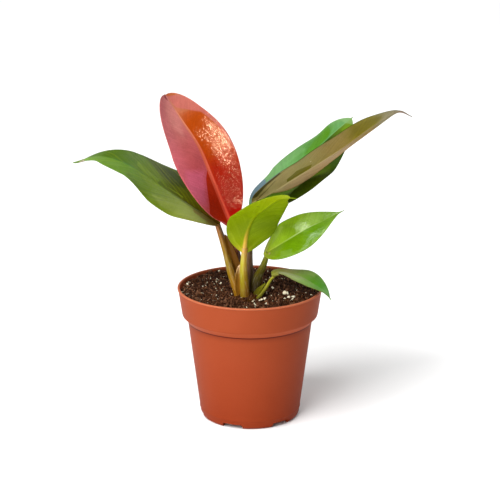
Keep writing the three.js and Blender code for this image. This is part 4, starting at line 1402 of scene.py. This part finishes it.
# The other side: stops for both halves, stops for the rib, the streaks' amount and the roughness
BACK_LOOKS = {
    "red": ([(0, 150, 60, 40), (1, 165, 80, 60)], [(0, 200, 90, 65), (1, 180, 85, 65)], 0.15, 0.45),
    "left": ([(0, 120, 120, 65), (1, 125, 160, 85)], [(0, 170, 130, 75), (1, 150, 165, 90)], 0.15, 0.5),
    "green": ([(0, 115, 140, 80), (1, 125, 165, 95)], [(0, 150, 140, 90), (1, 140, 170, 100)], 0.15, 0.5),
    "bronze": (
        # The first two stops, blue-grey near the base, are a painted reflection.
        [(0, 115, 140, 152), (0.12, 112, 136, 145), (0.2, 78, 92, 46), (1, 85, 105, 48)],
        [(0, 130, 130, 110), (0.2, 110, 100, 55), (1, 110, 110, 60)], 0.12, 0.42,
    ),
    "lime": ([(0, 120, 150, 45), (1, 115, 155, 45)], [(0, 150, 165, 60), (1, 130, 160, 50)], 0.12, 0.4),
    "right": ([(0, 130, 155, 60), (1, 125, 165, 60)], [(0, 150, 150, 70), (1, 150, 170, 75)], 0.12, 0.5),
    "low": ([(0, 135, 155, 80), (1, 120, 155, 90)], [(0, 150, 160, 80), (1, 130, 160, 90)], 0.12, 0.5),
}

# Colour stops from the foot up, for the left and the right side as seen from the front
STALK_LOOKS = {
    "red": (
        [(0, 125, 90, 50), (0.6, 130, 80, 52), (1, 165, 75, 55)],
        [(0, 110, 74, 45), (0.6, 112, 68, 48), (1, 155, 60, 50)],
    ),
    "left": (
        [
            (0, 205, 140, 56), (0.3, 190, 140, 48), (0.55, 172, 142, 45), (0.8, 180, 132, 45),
            (1, 194, 122, 76),
        ],
        [(0, 212, 146, 68), (0.3, 160, 118, 50), (0.6, 128, 98, 46), (1, 144, 98, 56)],
    ),
    "green": (
        [(0, 140, 116, 76), (0.3, 146, 118, 86), (1, 120, 108, 66)],
        [(0, 130, 108, 72), (0.3, 136, 110, 80), (1, 110, 98, 60)],
    ),
    "bronze": (
        [(0, 150, 116, 66), (0.3, 160, 120, 90), (1, 140, 116, 74)],
        [(0, 130, 100, 60), (0.3, 140, 108, 80), (1, 125, 104, 66)],
    ),
    "lime": (
        [
            (0, 170, 124, 54), (0.3, 178, 146, 54), (0.55, 196, 180, 56), (0.8, 226, 212, 72),
            (1, 244, 200, 128),
        ],
        [
            (0, 142, 100, 54), (0.3, 156, 112, 54), (0.55, 178, 143, 52), (0.8, 206, 168, 70),
            (1, 204, 148, 70),
        ],
    ),
    "right": (
        [(0, 80, 64, 45), (0.4, 88, 76, 45), (0.7, 128, 118, 46), (1, 168, 174, 52)],
        [(0, 72, 58, 45), (0.4, 80, 70, 45), (0.7, 112, 104, 46), (1, 150, 158, 50)],
    ),
    "low": (
        [(0, 120, 104, 56), (0.3, 158, 152, 58), (0.7, 214, 210, 74), (1, 215, 205, 80)],
        [(0, 104, 88, 52), (0.3, 136, 130, 52), (0.7, 192, 188, 62), (1, 205, 196, 76)],
    ),
}
SPOT = (0.05, 0.02, 0.01, 1)

# Colour stops from the foot up, and the light in which the sheath stands
SHEATH_LOOKS = {
    "front": ([
        (0, 178, 126, 52), (0.5, 158, 112, 50), (0.7, 168, 124, 62), (0.85, 226, 184, 130),
        (1, 250, 214, 172),
    ], 1.3),
    "back": ([(0, 150, 110, 66), (1, 200, 155, 110)], 1.5),
    "left": ([(0, 176, 124, 56), (0.3, 134, 92, 48), (1, 112, 78, 45)], 1.9),
    "low": ([(0, 104, 96, 48), (0.5, 124, 120, 50), (1, 164, 162, 60)], 1.9),
}

CROWN_STOPS = [(0.3, 60, 41, 29), (0.5, 88, 62, 42), (0.75, 116, 84, 52)]

# Colour stops over the noise of the ground, and over the tone of each small lump
SOIL_STOPS = {
    "ground": [(0.3, 50, 34, 27), (0.7, 96, 67, 53)],
    "crumb": [(0.1, 60, 42, 33), (0.5, 115, 82, 65), (0.8, 160, 116, 91), (1, 214, 168, 136)],
    "perlite": [(0.1, 228, 216, 182), (0.5, 250, 242, 214), (1, 222, 200, 150)],
    "fibre": [(0.1, 84, 54, 38), (0.6, 140, 90, 58), (1, 186, 126, 80)],
}

# The body's stops darken towards the bottom as painted shade. The colours below them paint light on the
# band's foot, a shadow under the band, a shade line in its crease and a highlight on the lip.
PLASTIC = {
    "body": [
        (0.1, 171, 77, 53), (0.3, 180, 84, 57), (0.5, 187, 89, 61), (0.7, 190, 93, 63), (0.9, 194, 96, 65),
    ],
    "pit": (165, 70, 45),
    "grain": (214, 116, 80),
    "lit_ledge": (222, 112, 76),
    "shadow": (110, 46, 34),
    "seam": (96, 42, 32),
    "lip": (240, 146, 108),
}


# Pieces

def build_leaf(name, leaf):
    stops, rib, streak, roughness = BACK_LOOKS[name]
    back = {"left": stops, "right": stops, "rib": rib, "streak": streak, "roughness": roughness}
    front = {**FRONT_LOOKS[name], "marks": LEAF_MARKS[name]}
    upper, lower = (back, front) if name in UNDERSIDE_SHOWS else (front, back)
    skins = [leaf_paint(f"leaf_{name}_upper", **upper), leaf_paint(f"leaf_{name}_lower", **lower)]
    keep(blade(f"leaf_{name}", leaf, *skins, LEAF_MARKS[name]), f"blade_{name}", f"blade_{name}")
    skin = stalk_paint(f"stalk_{name}_skin", *STALK_LOOKS[name])
    keep(petiole(f"stalk_{name}", leaf, skin), f"petiole_{name}", f"petiole_{name}")


def build_sheath(name, sheath):
    stops, light = SHEATH_LOOKS[name]
    skin = leaf_paint(f"sheath_{name}_skin", left=stops, right=stops, rib=stops, rib_width=(0.3, 0.2),
                      streak=0.15, fine=0.15, roughness=0.5, light=light)
    piece = blade(f"sheath_{name}_skin", sheath, skin, skin, [], relief=0.02, rib=(0.1, 0.05),
                  rows=50, columns=14)
    keep(piece, "sheath" if name in ("front", "back") else f"sheath_{name}", f"sheath_{name}")


def build_plant():
    for k, (name, leaf) in enumerate(LEAVES.items()):
        build_leaf(name, {**leaf, "seed": 0.7 + 1.3 * k})
    keep(crown(mottled("crown_skin", CROWN_STOPS, 0.5, 0.5, 0.2, (1, 1, 0.25))), "crown", "crown")
    for k, (name, sheath) in enumerate(SHEATHS.items()):
        build_sheath(name, {**SHEATH_SHAPE, **sheath, "seed": 2.0 + k})


def build_pot():
    keep(pot(pot_paint()), "pot", "pot")
    keep(soil_bed(mottled("soil_ground", SOIL_STOPS["ground"], 1.4, 0.9, 0.3)), "soil", "soil")
    keep(crumbs(granular("soil_crumb", SOIL_STOPS["crumb"])), "soil")
    white = granular("perlite_grain", SOIL_STOPS["perlite"], 0.7, bump=0.25, light=1.25)
    keep(perlite(white), "soil")
    keep(fibres(granular("peat_fibre", SOIL_STOPS["fibre"], 0.7, 2, 0.05)), "soil")


# Stage

def floor(reach=4000):
    paint = Paint("pale_floor", 0.9, 0.2)
    cloud = paint.noise(paint.millimetres(), 0.004, 2, 0.5)
    paint.color(paint.ramp(cloud, [(0.2, 250, 250, 250), (0.8, 253, 253, 253)], 1.12))
    corners = [(-reach, -reach, 0), (reach, -reach, 0), (reach, reach, 0), (-reach, reach, 0)]
    make_mesh("floor", corners, [(0, 1, 2, 3)], [paint.finish()])


def area_light(name, place, size, power, target=(0, 0, 0.13), diffuse=True, glossy=True):
    """A round lamp. Its place and target are in metres from the pot's axis."""
    data = bpy.data.lights.new(name, "AREA")
    data.shape = "DISK"
    data.size = size
    data.energy = power
    light = bpy.data.objects.new(name, data)
    light.visible_camera = False
    light.visible_diffuse = diffuse
    light.visible_glossy = glossy
    light.location = Vector(place) + Vector(POT_AXIS) * MM
    light.rotation_euler = (Vector(target) - Vector(place)).to_track_quat("-Z", "Y").to_euler()
    bpy.context.collection.objects.link(light)


def sun(name, heading, strength, soft_degrees):
    data = bpy.data.lights.new(name, "SUN")
    data.energy = strength
    data.angle = math.radians(soft_degrees)
    light = bpy.data.objects.new(name, data)
    light.visible_glossy = False
    light.rotation_euler = Vector(heading).to_track_quat("Z", "Y").to_euler()
    bpy.context.collection.objects.link(light)


def studio():
    scene = bpy.context.scene
    scene.view_settings.view_transform = "Standard"
    world = bpy.data.worlds.new("studio")
    world.use_nodes = True
    background = world.node_tree.nodes["Background"]
    background.inputs["Color"].default_value = WHITE
    background.inputs["Strength"].default_value = 0.42
    scene.world = world
    sun("key", (-0.62, -0.85, 1.05), 3.5, 44)
    area_light("top_softbox", (-0.42, -0.24, 1.18), 0.3, 4.5, target=(0.04, 0, 0.14))
    area_light("low_fill", (-0.27, -0.51, 0.09), 0.2, 1.15, target=(-0.03, 0, 0.16), glossy=False)
    area_light("low_glint", (-0.3, -0.49, 0.09), 0.04, 2, target=(-0.03, 0, 0.2), diffuse=False)
    area_light("front_glint", (-0.11, -0.55, 0.035), 0.03, 0.2, target=(-0.01, 0, 0.17), diffuse=False)
    area_light("back", (0.5, 0.9, 1.1), 0.8, 5)


def camera():
    data = bpy.data.cameras.new("camera")
    data.lens = CAMERA["lens"]
    data.sensor_width = CAMERA["sensor"]
    data.sensor_fit = "HORIZONTAL"
    data.clip_start, data.clip_end = 0.05, 20
    eye = bpy.data.objects.new("camera", data)
    eye.location = (Vector((0, -CAMERA["distance"], CAMERA["height"])) + Vector(POT_AXIS)) * MM
    eye.rotation_euler = (math.radians(90 - CAMERA["pitch_degrees"]), 0, 0)
    bpy.context.collection.objects.link(eye)
    bpy.context.scene.camera = eye


ICO = {level: icosphere(level) for level in (1, 2, 3)}
camera()
studio()
floor()
build_pot()
build_plant()
